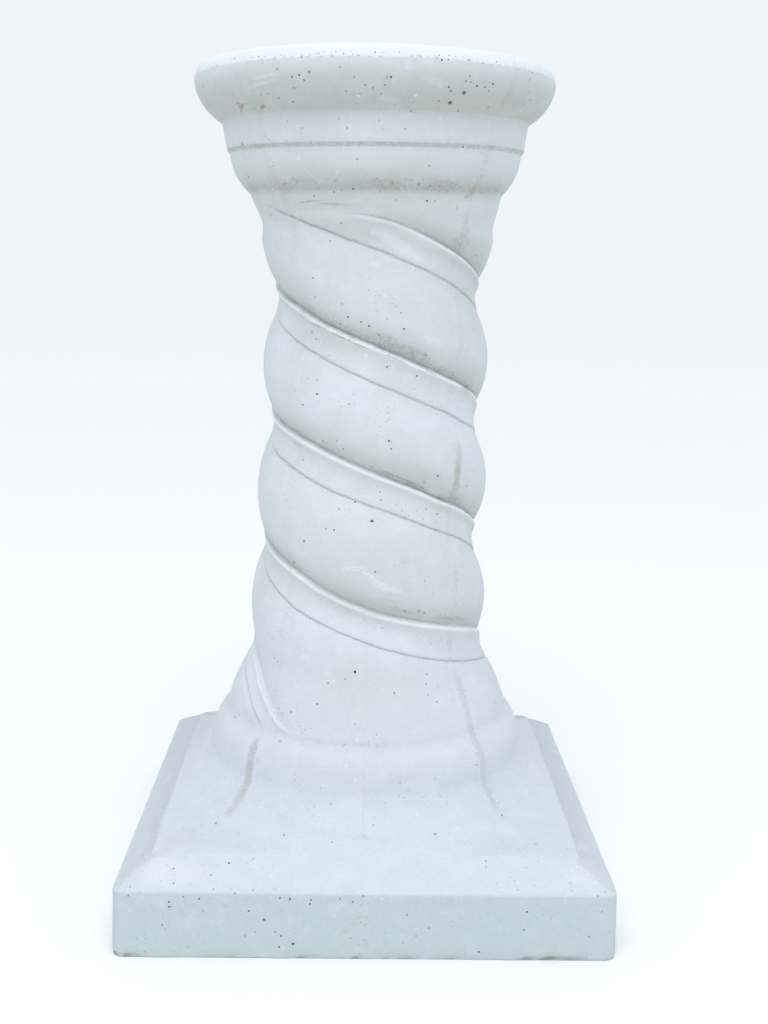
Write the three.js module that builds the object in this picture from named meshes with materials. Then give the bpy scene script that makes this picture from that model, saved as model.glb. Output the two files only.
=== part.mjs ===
// A twisted garden column, cast in one piece of white concrete.
// Square plinth, round foot, a shaft with two left-handed rolls, a neck and a moulded rim.
// Millimetres, +Z up, the front is -Y, the origin is under the middle of the plinth.
import * as THREE from "three";

// Overall sizes
const HEIGHT = 700;
const PLINTH_WIDTH = 400;
const PLINTH_BAND = 55;
const PLINTH_DRAFT = 1;
const PLINTH_CORNER = 9;
const BEVEL_INSET = 28;
const BEVEL_RISE = 20;
const FOOT_RADIUS = 161;
const FOOT_LIFT = 10;
const ARRIS_ROUND = 1.5;

// The slope from the foot down to the edge of the plinth's platform
const PLATFORM_EDGE = PLINTH_BAND + BEVEL_RISE;
const PLATFORM_HALF = PLINTH_WIDTH / 2 - BEVEL_INSET;
const PLATFORM_EASE = 20;
const PLATFORM_STEPS = [0.55, 0.2];

// The twist: two strands half a turn apart, falling to the right of the front
const STRANDS = 2;
const STRAND_ANGLE = 360 / STRANDS;
const CREASE_AT_FRONT = 577.5;
const FALL_PER_DEGREE = 0.59;
// Passes of the strands that can cross one upright line, lowest and highest
const LOWEST_PASS = 6;
const HIGHEST_PASS = -2;
// How far a strand strays from a true helix: angle along the strand, rise
const STRAY = [[60, -2.2], [85, 0], [130, 2.4], [181, 2.4], [219, 3], [250, 4], [285, 0.8], [325, 5],
  [361, 7.2], [380, 7], [417, 5], [465, -0.8], [488, 0.4], [530, 0], [548, -1], [575, 3.8], [605, 10.7],
  [620, 11.2], [645, -0.5], [675, -14], [690, -22], [720, -44]];

// The band under each crease: share of the way down it, height above the core
const BAND_SECTION = [[0, -1.5], [0.14, 3], [0.32, 2.8], [0.56, 0.4], [0.8, 1.6], [0.9, 2.4], [1, 0.8]];
const BAND_EDGE = 0.8;
// How wide the band is, by the angle along the strand, and the width below which it is shallower too
const BAND_WIDTH = [[60, 26.3], [100, 26], [130, 27], [160, 29.5], [190, 31], [230, 31.5], [260, 29],
  [300, 28.5], [330, 29.5], [370, 29], [420, 27.5], [455, 27], [488, 33.5], [515, 32], [530, 31],
  [550, 29], [575, 32], [595, 33], [615, 31], [640, 22], [660, 17], [690, 15]];
const FULL_BAND = 25;
const CREASE_DEPTH = 1.5;
const BAND_ROWS = [0, 0.14, 0.52, 0.9, 1];

// The roll between one band and the next crease, by its share of the way down
const ROLL_CREST = 0.5;
const ROLL_TUCK = 0.92;
const ROLL_ROWS = [0.2, 0.5, 0.77, 0.93];

// Core radius and height of the rolls, each by the height above the ground
const CORE = [[150, 125.5], [165, 119.3], [178, 113], [190, 106.5], [203, 101.5], [220, 98], [250, 94.5],
  [301, 91], [352, 88.8], [405, 87], [460, 85.5], [514, 84], [540, 85.5], [560, 89], [580, 95]];
const ROLL_HEIGHT = [[150, 0], [190, 2.5], [215, 6.5], [250, 10], [352, 12], [460, 12], [520, 12], [560, 10],
  [595, 3]];
const NECK = [[555, 99.4], [565, 99.6], [580, 102], [590, 104.4], [597, 107]];

// Where the twist grows out of the foot and dies away under the neck
const TWIST_LOW = 156;
const TWIST_HIGH = 590;
const RELIEF_FULL_LOW = 168;
const RELIEF_FULL_HIGH = 568;
const NECK_STARTS = 555;
// Least distance of a strand's row from the two ends of the twist
const ROW_GAP = 3;

// Columns of vertices round the piece, with two more beside each plinth corner
const EVEN_COLUMNS = 64;
const CORNER_STEP = 1.32;

// Outline of the foot as [radius, height], from the platform up; a bend is a curve's control point
const FOOT_LIP = [155.5, 90.5];
const FOOT_COVE_BEND = [144.5, 100.5];
const FOOT_WALL = [141.3, 112];
const FOOT_SWELL_BEND = [139, 131];
const FOOT_SHOULDER = [133, 140];
const FOOT_CREASE = [126, 149.5];
const SHAFT_START = [124.6, 154];

// Outline of the neck and rim as [radius, height], from the end of the twist up
const NECK_END = [104.4, TWIST_HIGH];
const BEAD_FOOT = [107, 597.3];
const BEAD_BEND = [115.5, 604.2];
const BEAD_SIDE = [121.4, 618];
const BEAD_TOP = [123, 629];
const FILLET_FOOT = [125.4, 632];
const FILLET_TOP = [128.6, 653];
const TORUS_FOOT = [129.4, 655];
const TORUS_LOW_BEND = [139.5, 661];
const TORUS_LOW_SIDE = [145.2, 670];
const TORUS_BEND = [151.6, 681];
const TORUS_EDGE = [151, 689.5];
const TOP_SHOULDER = [148, 697.5];
const TOP_ROUND = [145.5, 699.6];
const TOP_EDGE = [141, HEIGHT];

// Points on each round stretch of the rim and the foot
const ROUND_STEPS = 3;

function clamp01(value) {
  return Math.min(1, Math.max(0, value));
}

function easeBetween(start, end, value) {
  const share = clamp01((value - start) / (end - start));
  return share * share * (3 - 2 * share);
}

// A smooth line through [place, value] points, level past both ends
function smoothLine(points) {
  const last = points.length - 1;
  const slopeAt = (i) => {
    const before = points[Math.max(0, i - 1)];
    const after = points[Math.min(last, i + 1)];
    return (after[1] - before[1]) / (after[0] - before[0]);
  };
  return (place) => {
    if (place <= points[0][0]) return points[0][1];
    if (place >= points[last][0]) return points[last][1];
    let i = 0;
    while (place > points[i + 1][0]) i += 1;
    const [startPlace, startValue] = points[i];
    const [endPlace, endValue] = points[i + 1];
    const width = endPlace - startPlace;
    const t = (place - startPlace) / width;
    const startPart = startValue * (1 + 2 * t) * (1 - t) ** 2 + slopeAt(i) * width * t * (1 - t) ** 2;
    const endPart = endValue * t * t * (3 - 2 * t) + slopeAt(i + 1) * width * t * t * (t - 1);
    return startPart + endPart;
  };
}

const strayAt = smoothLine(STRAY);
const coreAt = smoothLine(CORE);
const rollHeightAt = smoothLine(ROLL_HEIGHT);
const bandAt = smoothLine(BAND_SECTION);
const bandWidthAt = smoothLine(BAND_WIDTH);
const neckAt = smoothLine(NECK);

// Height of a crease at an angle along its strand
function creaseHeight(angle) {
  return CREASE_AT_FRONT - FALL_PER_DEGREE * angle + strayAt(angle);
}

// Outline of a roll between its band and the next crease: 0 at the band, 1 at the crest
function rollHeight(share, height) {
  if (share < ROLL_CREST) {
    const up = (ROLL_CREST - share) / ROLL_CREST;
    return BAND_EDGE + (height - BAND_EDGE) * (1 - up * up);
  }
  const down = (share - ROLL_CREST) / (1 - ROLL_CREST);
  const fallen = (1 - Math.sqrt(1 - ROLL_TUCK * down * down)) / (1 - Math.sqrt(1 - ROLL_TUCK));
  return height - (height + CREASE_DEPTH) * fallen;
}

// Radius of the twisted shaft, below a crease by `drop`, with a band `width` wide and `span` to the next one
function shaftRadius(height, drop, width, span) {
  const relief = easeBetween(TWIST_LOW, RELIEF_FULL_LOW, height)
    * (1 - easeBetween(RELIEF_FULL_HIGH, TWIST_HIGH, height));
  const share = clamp01((drop - width) / (span - width));
  const band = bandAt(drop / width) * Math.min(1, width / FULL_BAND);
  const carved = drop < width ? band : rollHeight(share, rollHeightAt(height));
  const shaft = coreAt(height) + carved * relief;
  const neckShare = easeBetween(NECK_STARTS, TWIST_HIGH, height);
  return shaft + (neckAt(height) - shaft) * neckShare;
}

// Distance from the axis to a square with rounded corners, at an angle from the front
function squareRadius(angle, half, corner) {
  const turn = THREE.MathUtils.degToRad(Math.abs(((angle % 90) + 135) % 90 - 45));
  const straight = half / Math.cos(turn);
  if (half * Math.tan(turn) <= half - corner) return straight;
  const centre = half - corner;
  const along = centre * (Math.cos(turn) + Math.sin(turn));
  const off = centre * (Math.cos(turn) - Math.sin(turn));
  return along + Math.sqrt(corner * corner - off * off);
}

// Rounds of the foot, from the platform up to the crease under the shaft
function footOutline() {
  const path = new THREE.Path();
  path.moveTo(FOOT_RADIUS, PLATFORM_EDGE + FOOT_LIFT);
  path.lineTo(...FOOT_LIP);
  path.quadraticCurveTo(...FOOT_COVE_BEND, ...FOOT_WALL);
  path.quadraticCurveTo(...FOOT_SWELL_BEND, ...FOOT_SHOULDER);
  path.lineTo(...FOOT_CREASE);
  path.lineTo(...SHAFT_START);
  return path.getPoints(ROUND_STEPS);
}

// Rounds of the neck and rim, from the neck up to the flat top
function rimOutline() {
  const path = new THREE.Path();
  path.moveTo(...NECK_END);
  path.lineTo(...BEAD_FOOT);
  path.quadraticCurveTo(...BEAD_BEND, ...BEAD_SIDE);
  path.lineTo(...BEAD_TOP);
  path.lineTo(...FILLET_FOOT);
  path.lineTo(...FILLET_TOP);
  path.lineTo(...TORUS_FOOT);
  path.quadraticCurveTo(...TORUS_LOW_BEND, ...TORUS_LOW_SIDE);
  path.quadraticCurveTo(...TORUS_BEND, ...TORUS_EDGE);
  path.lineTo(...TOP_SHOULDER);
  path.lineTo(...TOP_ROUND);
  path.lineTo(...TOP_EDGE);
  return path.getPoints(ROUND_STEPS);
}

const FOOT_OUTLINE = footOutline();
const RIM_OUTLINE = rimOutline();

// Rings of the plinth from the underside to the foot: name, radius and height at an angle
function plinthRings(angle) {
  const half = PLINTH_WIDTH / 2;
  const outline = [
    [half, 0],
    [half - PLINTH_DRAFT, PLINTH_BAND - ARRIS_ROUND],
    [half - PLINTH_DRAFT - ARRIS_ROUND, PLINTH_BAND],
    [PLATFORM_HALF, PLATFORM_EDGE],
  ];
  const rings = outline.map(([reach, height], i) => ({
    name: `plinth ${i}`,
    radius: squareRadius(angle, reach, PLINTH_CORNER),
    height,
  }));
  const edge = squareRadius(angle, PLATFORM_HALF, PLINTH_CORNER) - FOOT_RADIUS;
  const foot = Math.exp(-edge / PLATFORM_EASE);
  PLATFORM_STEPS.forEach((step) => {
    const away = edge * step;
    const lift = (Math.exp(-away / PLATFORM_EASE) - foot) / (1 - foot);
    rings.push({
      name: `platform ${step}`,
      radius: FOOT_RADIUS + away,
      height: PLATFORM_EDGE + FOOT_LIFT * lift,
    });
  });
  return rings;
}

// Rows of the shaft that follow the strands at one angle, from the bottom up
function shaftRows(angle) {
  const rows = [];
  for (let turn = LOWEST_PASS; turn >= HIGHEST_PASS; turn -= 1) {
    const along = angle + turn * STRAND_ANGLE;
    const top = creaseHeight(along);
    const span = top - creaseHeight(along + STRAND_ANGLE);
    const width = bandWidthAt(along);
    const drops = [
      ...BAND_ROWS.map((share) => share * width),
      ...ROLL_ROWS.map((share) => width + share * (span - width)),
    ];
    for (let i = drops.length - 1; i >= 0; i -= 1) {
      const height = top - drops[i];
      if (height < TWIST_LOW + ROW_GAP || height > TWIST_HIGH - ROW_GAP) continue;
      const radius = shaftRadius(height, drops[i], width, span);
      rows.push({ name: `strand ${turn} row ${i}`, turn, row: i, radius, height });
    }
  }
  return rows;
}

function outlineRings(outline, name) {
  return outline.map((point, i) => ({ name: `${name} ${i}`, radius: point.x, height: point.y }));
}

// One upright line of vertices, from the underside's rim to the edge of the top
function uprightLine(angle) {
  return [
    ...plinthRings(angle),
    ...outlineRings(FOOT_OUTLINE, "foot"),
    ...shaftRows(angle),
    ...outlineRings(RIM_OUTLINE, "rim"),
  ];
}

// Angles of the upright lines, anticlockwise seen from above, starting behind
function lineAngles() {
  const angles = [];
  for (let i = 0; i < EVEN_COLUMNS; i += 1) {
    const angle = -180 + (i * 360) / EVEN_COLUMNS;
    const atCorner = Math.abs(Math.abs(angle) % 90 - 45) < CORNER_STEP;
    if (atCorner) angles.push(angle - CORNER_STEP, angle, angle + CORNER_STEP);
    else angles.push(angle);
  }
  return angles;
}

// Names that the strands' rows take on when the line before is one full turn back
function rowName(point, wraps) {
  return wraps && point.turn !== undefined ? `strand ${point.turn + STRANDS} row ${point.row}` : point.name;
}

// Joins two neighbouring upright lines, pairing the rows that carry the same name
function joinLines(left, right, wraps, triangles) {
  const leftNames = left.map((point) => rowName(point, wraps));
  const rightNames = right.map((point) => point.name);
  const inRight = new Set(rightNames);
  let a = 0;
  let b = 0;
  while (a < left.length - 1 || b < right.length - 1) {
    const paired = leftNames[a + 1] === rightNames[b + 1];
    const leftIsAlone = a < left.length - 1 && !inRight.has(leftNames[a + 1]);
    if (paired) {
      triangles.push(left[a].index, right[b].index, right[b + 1].index);
      triangles.push(left[a].index, right[b + 1].index, left[a + 1].index);
      a += 1;
      b += 1;
    } else if (leftIsAlone) {
      triangles.push(left[a].index, right[b].index, left[a + 1].index);
      a += 1;
    } else {
      triangles.push(left[a].index, right[b].index, right[b + 1].index);
      b += 1;
    }
  }
}

function columnGeometry() {
  const positions = [0, 0, 0, 0, 0, HEIGHT];
  const underside = 0;
  const top = 1;
  const lines = lineAngles().map((angle) => {
    const turn = THREE.MathUtils.degToRad(angle);
    return uprightLine(angle).map((point) => {
      const index = positions.length / 3;
      positions.push(point.radius * Math.sin(turn), -point.radius * Math.cos(turn), point.height);
      return { ...point, index };
    });
  });
  const triangles = [];
  lines.forEach((line, i) => {
    const next = lines[(i + 1) % lines.length];
    joinLines(line, next, i === lines.length - 1, triangles);
    triangles.push(underside, next[0].index, line[0].index);
    triangles.push(top, line[line.length - 1].index, next[next.length - 1].index);
  });
  const geometry = new THREE.BufferGeometry();
  geometry.setAttribute("position", new THREE.Float32BufferAttribute(positions, 3));
  geometry.setIndex(triangles);
  geometry.computeVertexNormals();
  return geometry;
}

const concrete = new THREE.MeshStandardMaterial({ color: 0xd0dbe2, roughness: 0.85, metalness: 0 });
const column = new THREE.Mesh(columnGeometry(), concrete);
column.name = "twisted_column";

const part = new THREE.Group();
part.add(column);

export default part;
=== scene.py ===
import math
import random

import bpy
import numpy as np
from mathutils import Matrix, Vector, noise
from mathutils.bvhtree import BVHTree


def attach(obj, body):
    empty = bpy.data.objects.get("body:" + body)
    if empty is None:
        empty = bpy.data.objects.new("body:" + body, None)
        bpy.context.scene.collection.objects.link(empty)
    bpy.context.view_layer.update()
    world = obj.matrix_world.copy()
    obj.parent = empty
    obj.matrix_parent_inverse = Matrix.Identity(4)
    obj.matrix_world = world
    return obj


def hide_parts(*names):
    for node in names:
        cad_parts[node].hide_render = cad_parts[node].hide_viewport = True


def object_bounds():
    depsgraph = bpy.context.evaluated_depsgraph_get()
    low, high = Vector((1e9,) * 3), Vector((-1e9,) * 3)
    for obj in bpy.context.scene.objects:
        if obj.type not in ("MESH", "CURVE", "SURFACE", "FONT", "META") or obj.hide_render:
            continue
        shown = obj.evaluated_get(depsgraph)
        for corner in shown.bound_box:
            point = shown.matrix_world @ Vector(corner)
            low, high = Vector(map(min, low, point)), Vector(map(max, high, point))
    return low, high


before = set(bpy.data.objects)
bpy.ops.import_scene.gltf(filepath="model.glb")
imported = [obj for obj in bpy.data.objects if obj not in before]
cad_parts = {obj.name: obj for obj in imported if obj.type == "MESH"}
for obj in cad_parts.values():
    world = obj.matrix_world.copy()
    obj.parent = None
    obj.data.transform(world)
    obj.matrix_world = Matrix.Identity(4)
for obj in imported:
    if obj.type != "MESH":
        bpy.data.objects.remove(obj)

CAD_LOW, CAD_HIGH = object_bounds()
MM = 0.001

# Overall sizes
HEIGHT = 700
PLINTH_WIDTH = 400
PLINTH_BAND = 55
PLINTH_DRAFT = 1
PLINTH_CORNER = 9
BEVEL_INSET = 28
BEVEL_RISE = 20
BEVEL_HOLLOW = 1.2
FOOT_RADIUS = 161
FOOT_LIFT = 10
ARRIS_ROUND = 1.0
EDGE_ROUND = 0.7
PLATFORM_EDGE = PLINTH_BAND + BEVEL_RISE
PLATFORM_HALF = PLINTH_WIDTH / 2 - BEVEL_INSET
PLATFORM_EASE = 20
PLATFORM_DIP = 3.5

# The twist: two strands half a turn apart, falling to the right of the front
STRANDS = 2
STRAND_ANGLE = 360 / STRANDS
CREASE_AT_FRONT = 577.5
FALL_PER_DEGREE = 0.59
LOWEST_PASS = 6
HIGHEST_PASS = -2
# How far a strand strays from a true helix: angle along the strand, rise
STRAY = [[-60, -21], [-45, -20], [-36, -17.5], [-20, -9.4], [-8, -3.2], [4, 0.3], [20, 0.6], [44, 0.6],
         [60, 0.2], [85, 1], [130, 5], [152, 3.4], [176, 3.4], [200, 2.6], [219, 2.3], [250, 4],
         [285, 1.5], [312, 6], [332, 7], [361, 6.6], [380, 6.2], [395, 4.8], [417, 4.2], [465, -0.8],
         [488, 0.4], [503, 0.6], [515, -1.4], [530, -2], [548, -1.6], [575, 3.2], [596, 6.8], [606, 8.6],
         [620, 9.5], [638, 4], [656, 1.3], [670, -5], [678, -11], [686, -17.2], [700, -28], [720, -44]]

# The band under each crease: share of the way down to the incised line, height above the core
BAND_SECTION = [[0, -0.8], [0.03, 1.3], [0.06, 2.8], [0.1, 3.4], [0.15, 3.2], [0.24, 2.1], [0.38, 0.9],
                [0.52, 0.5], [0.74, 1.1], [0.9, 2.1], [1, 2.2], [1.08, 2.3]]
# The same near the neck, where the band is hardly hollow
TOP_SECTION = [[0, -1], [0.035, 1.2], [0.07, 2.5], [0.13, 2.9], [0.3, 2.8], [0.6, 2.4], [1, 2.2],
               [1.08, 2.3]]
TOP_BAND_STARTS = 535
TOP_BAND_FULL = 562
# The band's upper edge runs on, lower and lower, round the neck: how high it stands, round which
# height above the ground, from which angle along the strand, and its crest and the cut over it,
# each by its place below the crease and its reach
NECK_RIDGE = 0.9
NECK_RIDGE_HEIGHTS = (577, 8)
NECK_RIDGE_STARTS = (-22, 4)
NECK_RIDGE_CREST = (3.4, 2)
NECK_RIDGE_CUT = (0, 1.3)
# How wide the band is, by the angle along the strand, and the width below which it is shallower too
BAND_WIDTH = [[-60, 6], [-45, 6.5], [-36, 9.5], [-20, 17.5], [-8, 23.5], [4, 26.6], [20, 26.9],
              [60, 27.1], [100, 27.2], [130, 29.6], [152, 29.6], [176, 30.6], [204, 30.5], [219, 30],
              [240, 32], [260, 29.3], [300, 29.6], [316, 30.9], [332, 30.9], [345, 30.4], [361, 28.6],
              [392, 27.8], [420, 27.1], [455, 27], [488, 31], [503, 32.4], [515, 30], [530, 29],
              [550, 29.4], [575, 31.4], [596, 30.5], [615, 29], [640, 19.5], [658, 18], [668, 20],
              [690, 20]]
FULL_BAND = 25
# Where along a strand the band is worn softer: angle along the strand, share
WORN_BAND = [[560, 0], [600, 1], [635, 1], [655, 0.2], [720, 0]]
WORN_SHARE = 0.6
WORN_HEIGHT = 0.6
# The band ends at this share of its width, where it stands this high, and the incised line has this
# depth and half width
BAND_REACH = 1.08
BAND_EDGE = 2.3
LINE_DEPTH = 1.4
LINE_HALF_WIDTH = 0.9
# How far the roll sinks below the core where it meets the next ledge
CREASE_DEPTH = 1.0
# Rows of vertices down the band, as shares of its width
BAND_ROWS = [0, 0.015, 0.035, 0.06, 0.085, 0.115, 0.15, 0.2, 0.26, 0.33, 0.41, 0.5, 0.6, 0.7, 0.79, 0.87,
             0.93, 0.965, 1, 1.035, 1.08]

# The roll between one band and the next crease, by its share of the way down
ROLL_CREST = 0.5
ROLL_TUCK = 0.87
ROLL_ROWS = [0.03, 0.06, 0.1, 0.14, 0.19, 0.24, 0.29, 0.34, 0.39, 0.44, 0.49, 0.54, 0.59, 0.64, 0.69, 0.735,
             0.775, 0.812, 0.847, 0.878, 0.905, 0.928, 0.948, 0.965, 0.978, 0.989]

# Core radius and height of the rolls, each by the height above the ground
CORE = [[150, 125.5], [165, 119.3], [178, 113], [190, 106.5], [203, 101.5], [220, 98], [250, 94.5],
        [301, 91], [352, 88.8], [405, 87], [460, 85.5], [514, 84], [540, 85.5], [560, 89], [580, 95]]
ROLL_HEIGHT = [[150, 0], [190, 2.5], [215, 6.5], [250, 10], [352, 12], [460, 12], [520, 12], [560, 10],
               [595, 3]]
NECK = [[555, 99.4], [565, 99.6], [580, 102], [590, 104.4], [597, 107]]

# Where the twist grows out of the foot and dies away under the neck
TWIST_LOW = 152.3
TWIST_HIGH = 590
RELIEF_FULL_LOW = 156
RELIEF_FULL_HIGH = 560
RELIEF_GONE_HIGH = 584
LINE_FULL_HIGH = 582
NECK_STARTS = 555
ROW_GAP = 1.2

# Outline of the foot as radius and height, from the platform up; a bend is a curve's control point
FOOT_LIP = (155.5, 90.5)
FOOT_COVE_BEND = (144.5, 100.5)
FOOT_WALL = (141.3, 112)
FOOT_SWELL_BEND = (139, 131)
FOOT_SHOULDER = (133, 140)
FOOT_CREASE = (126, 149.5)
SHAFT_START = (125.4, 151.5)

# Outline of the neck and rim as radius and height, from the end of the twist up
NECK_END = (104.4, TWIST_HIGH)
BEAD_FOOT = (107, 597.3)
BEAD_LOW_BEND = (112.5, 601.8)
BEAD_LOW_SIDE = (117, 609.2)
BEAD_BEND = (121.4, 616.4)
BEAD_TOP = (123, 629)
FILLET_FOOT = (125.4, 632)
FILLET_TOP = (128.6, 653)
TORUS_FOOT = (129.4, 655)
TORUS_LOW_BEND = (139.5, 661)
TORUS_LOW_SIDE = (145.2, 670)
TORUS_BEND = (151.6, 681)
TORUS_EDGE = (151, 689.5)
TOP_LIP_BEND = (150.4, 694.5)
TOP_SHOULDER = (148, 697.5)
TOP_BEND = (146, HEIGHT)
TOP_EDGE = (141, HEIGHT)

# Rows of the plinth: shares of the way up its band, points of its arris as shares of the rounding
# inwards and down, and shares of the way up the bevel
PLINTH_SHARES = [0.03, 0.08, 0.15, 0.24, 0.35, 0.47, 0.59, 0.7, 0.8, 0.88, 0.94, 0.972]
ARRIS_POINTS = [(0, 0.8), (0.35, 0.2)]
BEVEL_SHARES = [0, 0.03, 0.08, 0.2, 0.34, 0.48, 0.62, 0.75, 0.86, 0.94, 0.975, 1]
# Rows of the platform: shares of the way out from the foot
PLATFORM_SHARES = [0.94, 0.82, 0.68, 0.54, 0.41, 0.3, 0.2, 0.12, 0.05]

# Spacing of the rows of vertices on rings, and of the upright lines in degrees
RING_SPACING = 2.8
CORNER_EASE = 0.55
OPEN_STEP = 1.75
SEAM_STEP = 0.62
SEAM_REACH = 3.8
SEAM_ANGLES = (-135, -45, 45, 135)
QUARTER = 90
EIGHTH = 45
TOP_RINGS = [136, 125, 105, 80, 50, 22]
UNDERSIDE_RINGS = [150, 60]

# The mould was a little crooked: by height, its sideways drift, how much lower the rim lies in the
# middle, how much lower still on the left than on the right, and how much its sides curl up
DRIFT = [[0, 0], [300, 0], [360, 1.8], [450, 2.7], [580, 2.7], [596, 0.8], [620, 0], [650, -0.8],
         [HEIGHT, -1.8]]
RIM_LOW = [[450, 0], [600, 1.6], [655, 1.6], [690, 1.3]]
RIM_TILT = [[450, 0], [600, 3.2], [655, 3.2], [690, 1.2]]
RIM_CURL = [[560, 0], [600, 2.2], [635, 2.2], [655, 1.6], [686, 0]]
RIM_SPAN = 300
CURL_REACH = 125
CURL_MOST = 1.3

# The camera, at the picture's viewing angle
PICTURE_WIDTH = 768
PICTURE_HEIGHT = 1024
CAMERA_PLACE = (-10.8, -1142.2, 537.5)
CAMERA_YAW = 1.178
CAMERA_PITCH = 10.69
CAMERA_ROLL = 0.019
FOCAL_PIXELS = 1299
SENSOR = 36
FARTHEST_SEEN = 100

FAR_OFF = 60.0
NO_STRAND = (FAR_OFF, 2 * FAR_OFF, FAR_OFF, 0.0)
SEED = 41


def ease_between(start, end, value):
    share = np.clip((value - start) / (end - start), 0, 1)
    return share * share * (3 - 2 * share)


def bell(distance, width):
    return np.exp(-(distance / width) ** 2)


def near(value, at, reach):
    """How near a value is to a place, from 1 there to almost nothing past its reach."""
    return bell(value - at, reach)


def smooth_line(points, place):
    """Height at a place of a smooth line through [place, value] points, level past both ends."""
    places = np.array([point[0] for point in points], float)
    values = np.array([point[1] for point in points], float)
    last = len(points) - 1
    before = np.clip(np.arange(last + 1) - 1, 0, last)
    after = np.clip(np.arange(last + 1) + 1, 0, last)
    slopes = (values[after] - values[before]) / (places[after] - places[before])
    i = np.clip(np.searchsorted(places, place, side="right") - 1, 0, last - 1)
    width = places[i + 1] - places[i]
    t = np.clip((place - places[i]) / width, 0, 1)
    start_part = values[i] * (1 + 2 * t) * (1 - t) ** 2 + slopes[i] * width * t * (1 - t) ** 2
    end_part = values[i + 1] * t * t * (3 - 2 * t) + slopes[i + 1] * width * t * t * (t - 1)
    return start_part + end_part


def crease_height(angle):
    """Height of a crease at an angle along its strand."""
    return CREASE_AT_FRONT - FALL_PER_DEGREE * angle + smooth_line(STRAY, angle)


def roll_height(share, height):
    """Outline of a roll between its band, at 0, and the next crease, at 1."""
    up = np.clip((ROLL_CREST - share) / ROLL_CREST, 0, 1)
    rising = BAND_EDGE + (height - BAND_EDGE) * (1 - up * up)
    down = np.clip((share - ROLL_CREST) / (1 - ROLL_CREST), 0, 1)
    fallen = (1 - np.sqrt(1 - ROLL_TUCK * down * down)) / (1 - math.sqrt(1 - ROLL_TUCK))
    falling = height - (height + CREASE_DEPTH) * fallen
    return np.where(share < ROLL_CREST, rising, falling)


def relief_at(height):
    """How much of the twist's carving stands at a height, from none at both ends."""
    low = ease_between(TWIST_LOW, RELIEF_FULL_LOW, height)
    return low * (1 - ease_between(RELIEF_FULL_HIGH, RELIEF_GONE_HIGH, height))


def line_at(height):
    """How deep the incised line is cut at a height, from none at both ends."""
    low = ease_between(TWIST_LOW, RELIEF_FULL_LOW, height)
    return low * (1 - ease_between(LINE_FULL_HIGH, TWIST_HIGH, height))


def on_neck(height, along):
    """How much of the band's upper edge still shows where it runs out on the neck."""
    return near(height, *NECK_RIDGE_HEIGHTS) * ease_between(*NECK_RIDGE_STARTS, along)


def shaft_radius(height, drop, width, span, along):
    """Radius of the twisted shaft, below a crease by drop, with span to the next one."""
    foot = width * BAND_REACH
    share = np.clip((drop - foot) / (span - foot), 0, 1)
    rolls = roll_height(share, smooth_line(ROLL_HEIGHT, height))
    below = drop / width
    hollow = smooth_line(BAND_SECTION, below)
    level = smooth_line(TOP_SECTION, below)
    crisp = hollow + (level - hollow) * ease_between(TOP_BAND_STARTS, TOP_BAND_FULL, height)
    crisp = crisp * min(1, width / FULL_BAND)
    worn = smooth_line(WORN_BAND, along)
    band = crisp + (WORN_SHARE * crisp + WORN_HEIGHT - crisp) * worn
    carved = np.where(drop < foot, band, rolls)
    shaft = smooth_line(CORE, height) + carved * relief_at(height)
    neck_share = ease_between(NECK_STARTS, TWIST_HIGH, height)
    outline = shaft + (smooth_line(NECK, height) - shaft) * neck_share
    ridge = near(drop, *NECK_RIDGE_CREST) - near(drop, *NECK_RIDGE_CUT)
    outline += NECK_RIDGE * ridge * on_neck(height, along)
    return outline - LINE_DEPTH * bell(drop - width, LINE_HALF_WIDTH) * line_at(height)


def square_radius(angle, half, corner):
    """Distance from the axis to a square with rounded corners, at an angle from the front."""
    turn = math.radians(abs((angle + EIGHTH) % QUARTER - EIGHTH))
    if half * math.tan(turn) <= half - corner:
        return half / math.cos(turn)
    centre = half - corner
    along = centre * (math.cos(turn) + math.sin(turn))
    off = centre * (math.cos(turn) - math.sin(turn))
    return along + math.sqrt(corner * corner - off * off)


def spaced(length, spacing):
    """Shares along a stretch, with a point just inside each end so that its corners stay crisp."""
    steps = max(1, round((length - 2 * CORNER_EASE) / spacing))
    inner = np.linspace(CORNER_EASE / length, 1 - CORNER_EASE / length, steps + 1)
    return list(inner)


def sampled(start, stretches, spacing):
    """Points along lines and bends: each stretch is (end,) or (bend, end)."""
    points = [start]
    here = np.array(start, float)
    for stretch in stretches:
        end = np.array(stretch[-1], float)
        bend = np.array(stretch[0], float) if len(stretch) == 2 else (here + end) / 2
        length = np.linalg.norm(bend - here) + np.linalg.norm(end - bend)
        for share in spaced(length, spacing):
            early = here + (bend - here) * share
            late = bend + (end - bend) * share
            points.append(tuple(early + (late - early) * share))
        here = end
    return points


def foot_outline():
    stretches = [(FOOT_LIP,), (FOOT_COVE_BEND, FOOT_WALL), (FOOT_SWELL_BEND, FOOT_SHOULDER),
                 (FOOT_CREASE,), (SHAFT_START,)]
    return sampled((FOOT_RADIUS, PLATFORM_EDGE + FOOT_LIFT), stretches, RING_SPACING)


def rim_outline():
    stretches = [(BEAD_FOOT,), (BEAD_LOW_BEND, BEAD_LOW_SIDE), (BEAD_BEND, BEAD_TOP),
                 (FILLET_FOOT,), (FILLET_TOP,),
                 (TORUS_FOOT,), (TORUS_LOW_BEND, TORUS_LOW_SIDE), (TORUS_BEND, TORUS_EDGE),
                 (TOP_LIP_BEND, TOP_SHOULDER), (TOP_BEND, TOP_EDGE)]
    return sampled(NECK_END, stretches, RING_SPACING)


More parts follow.
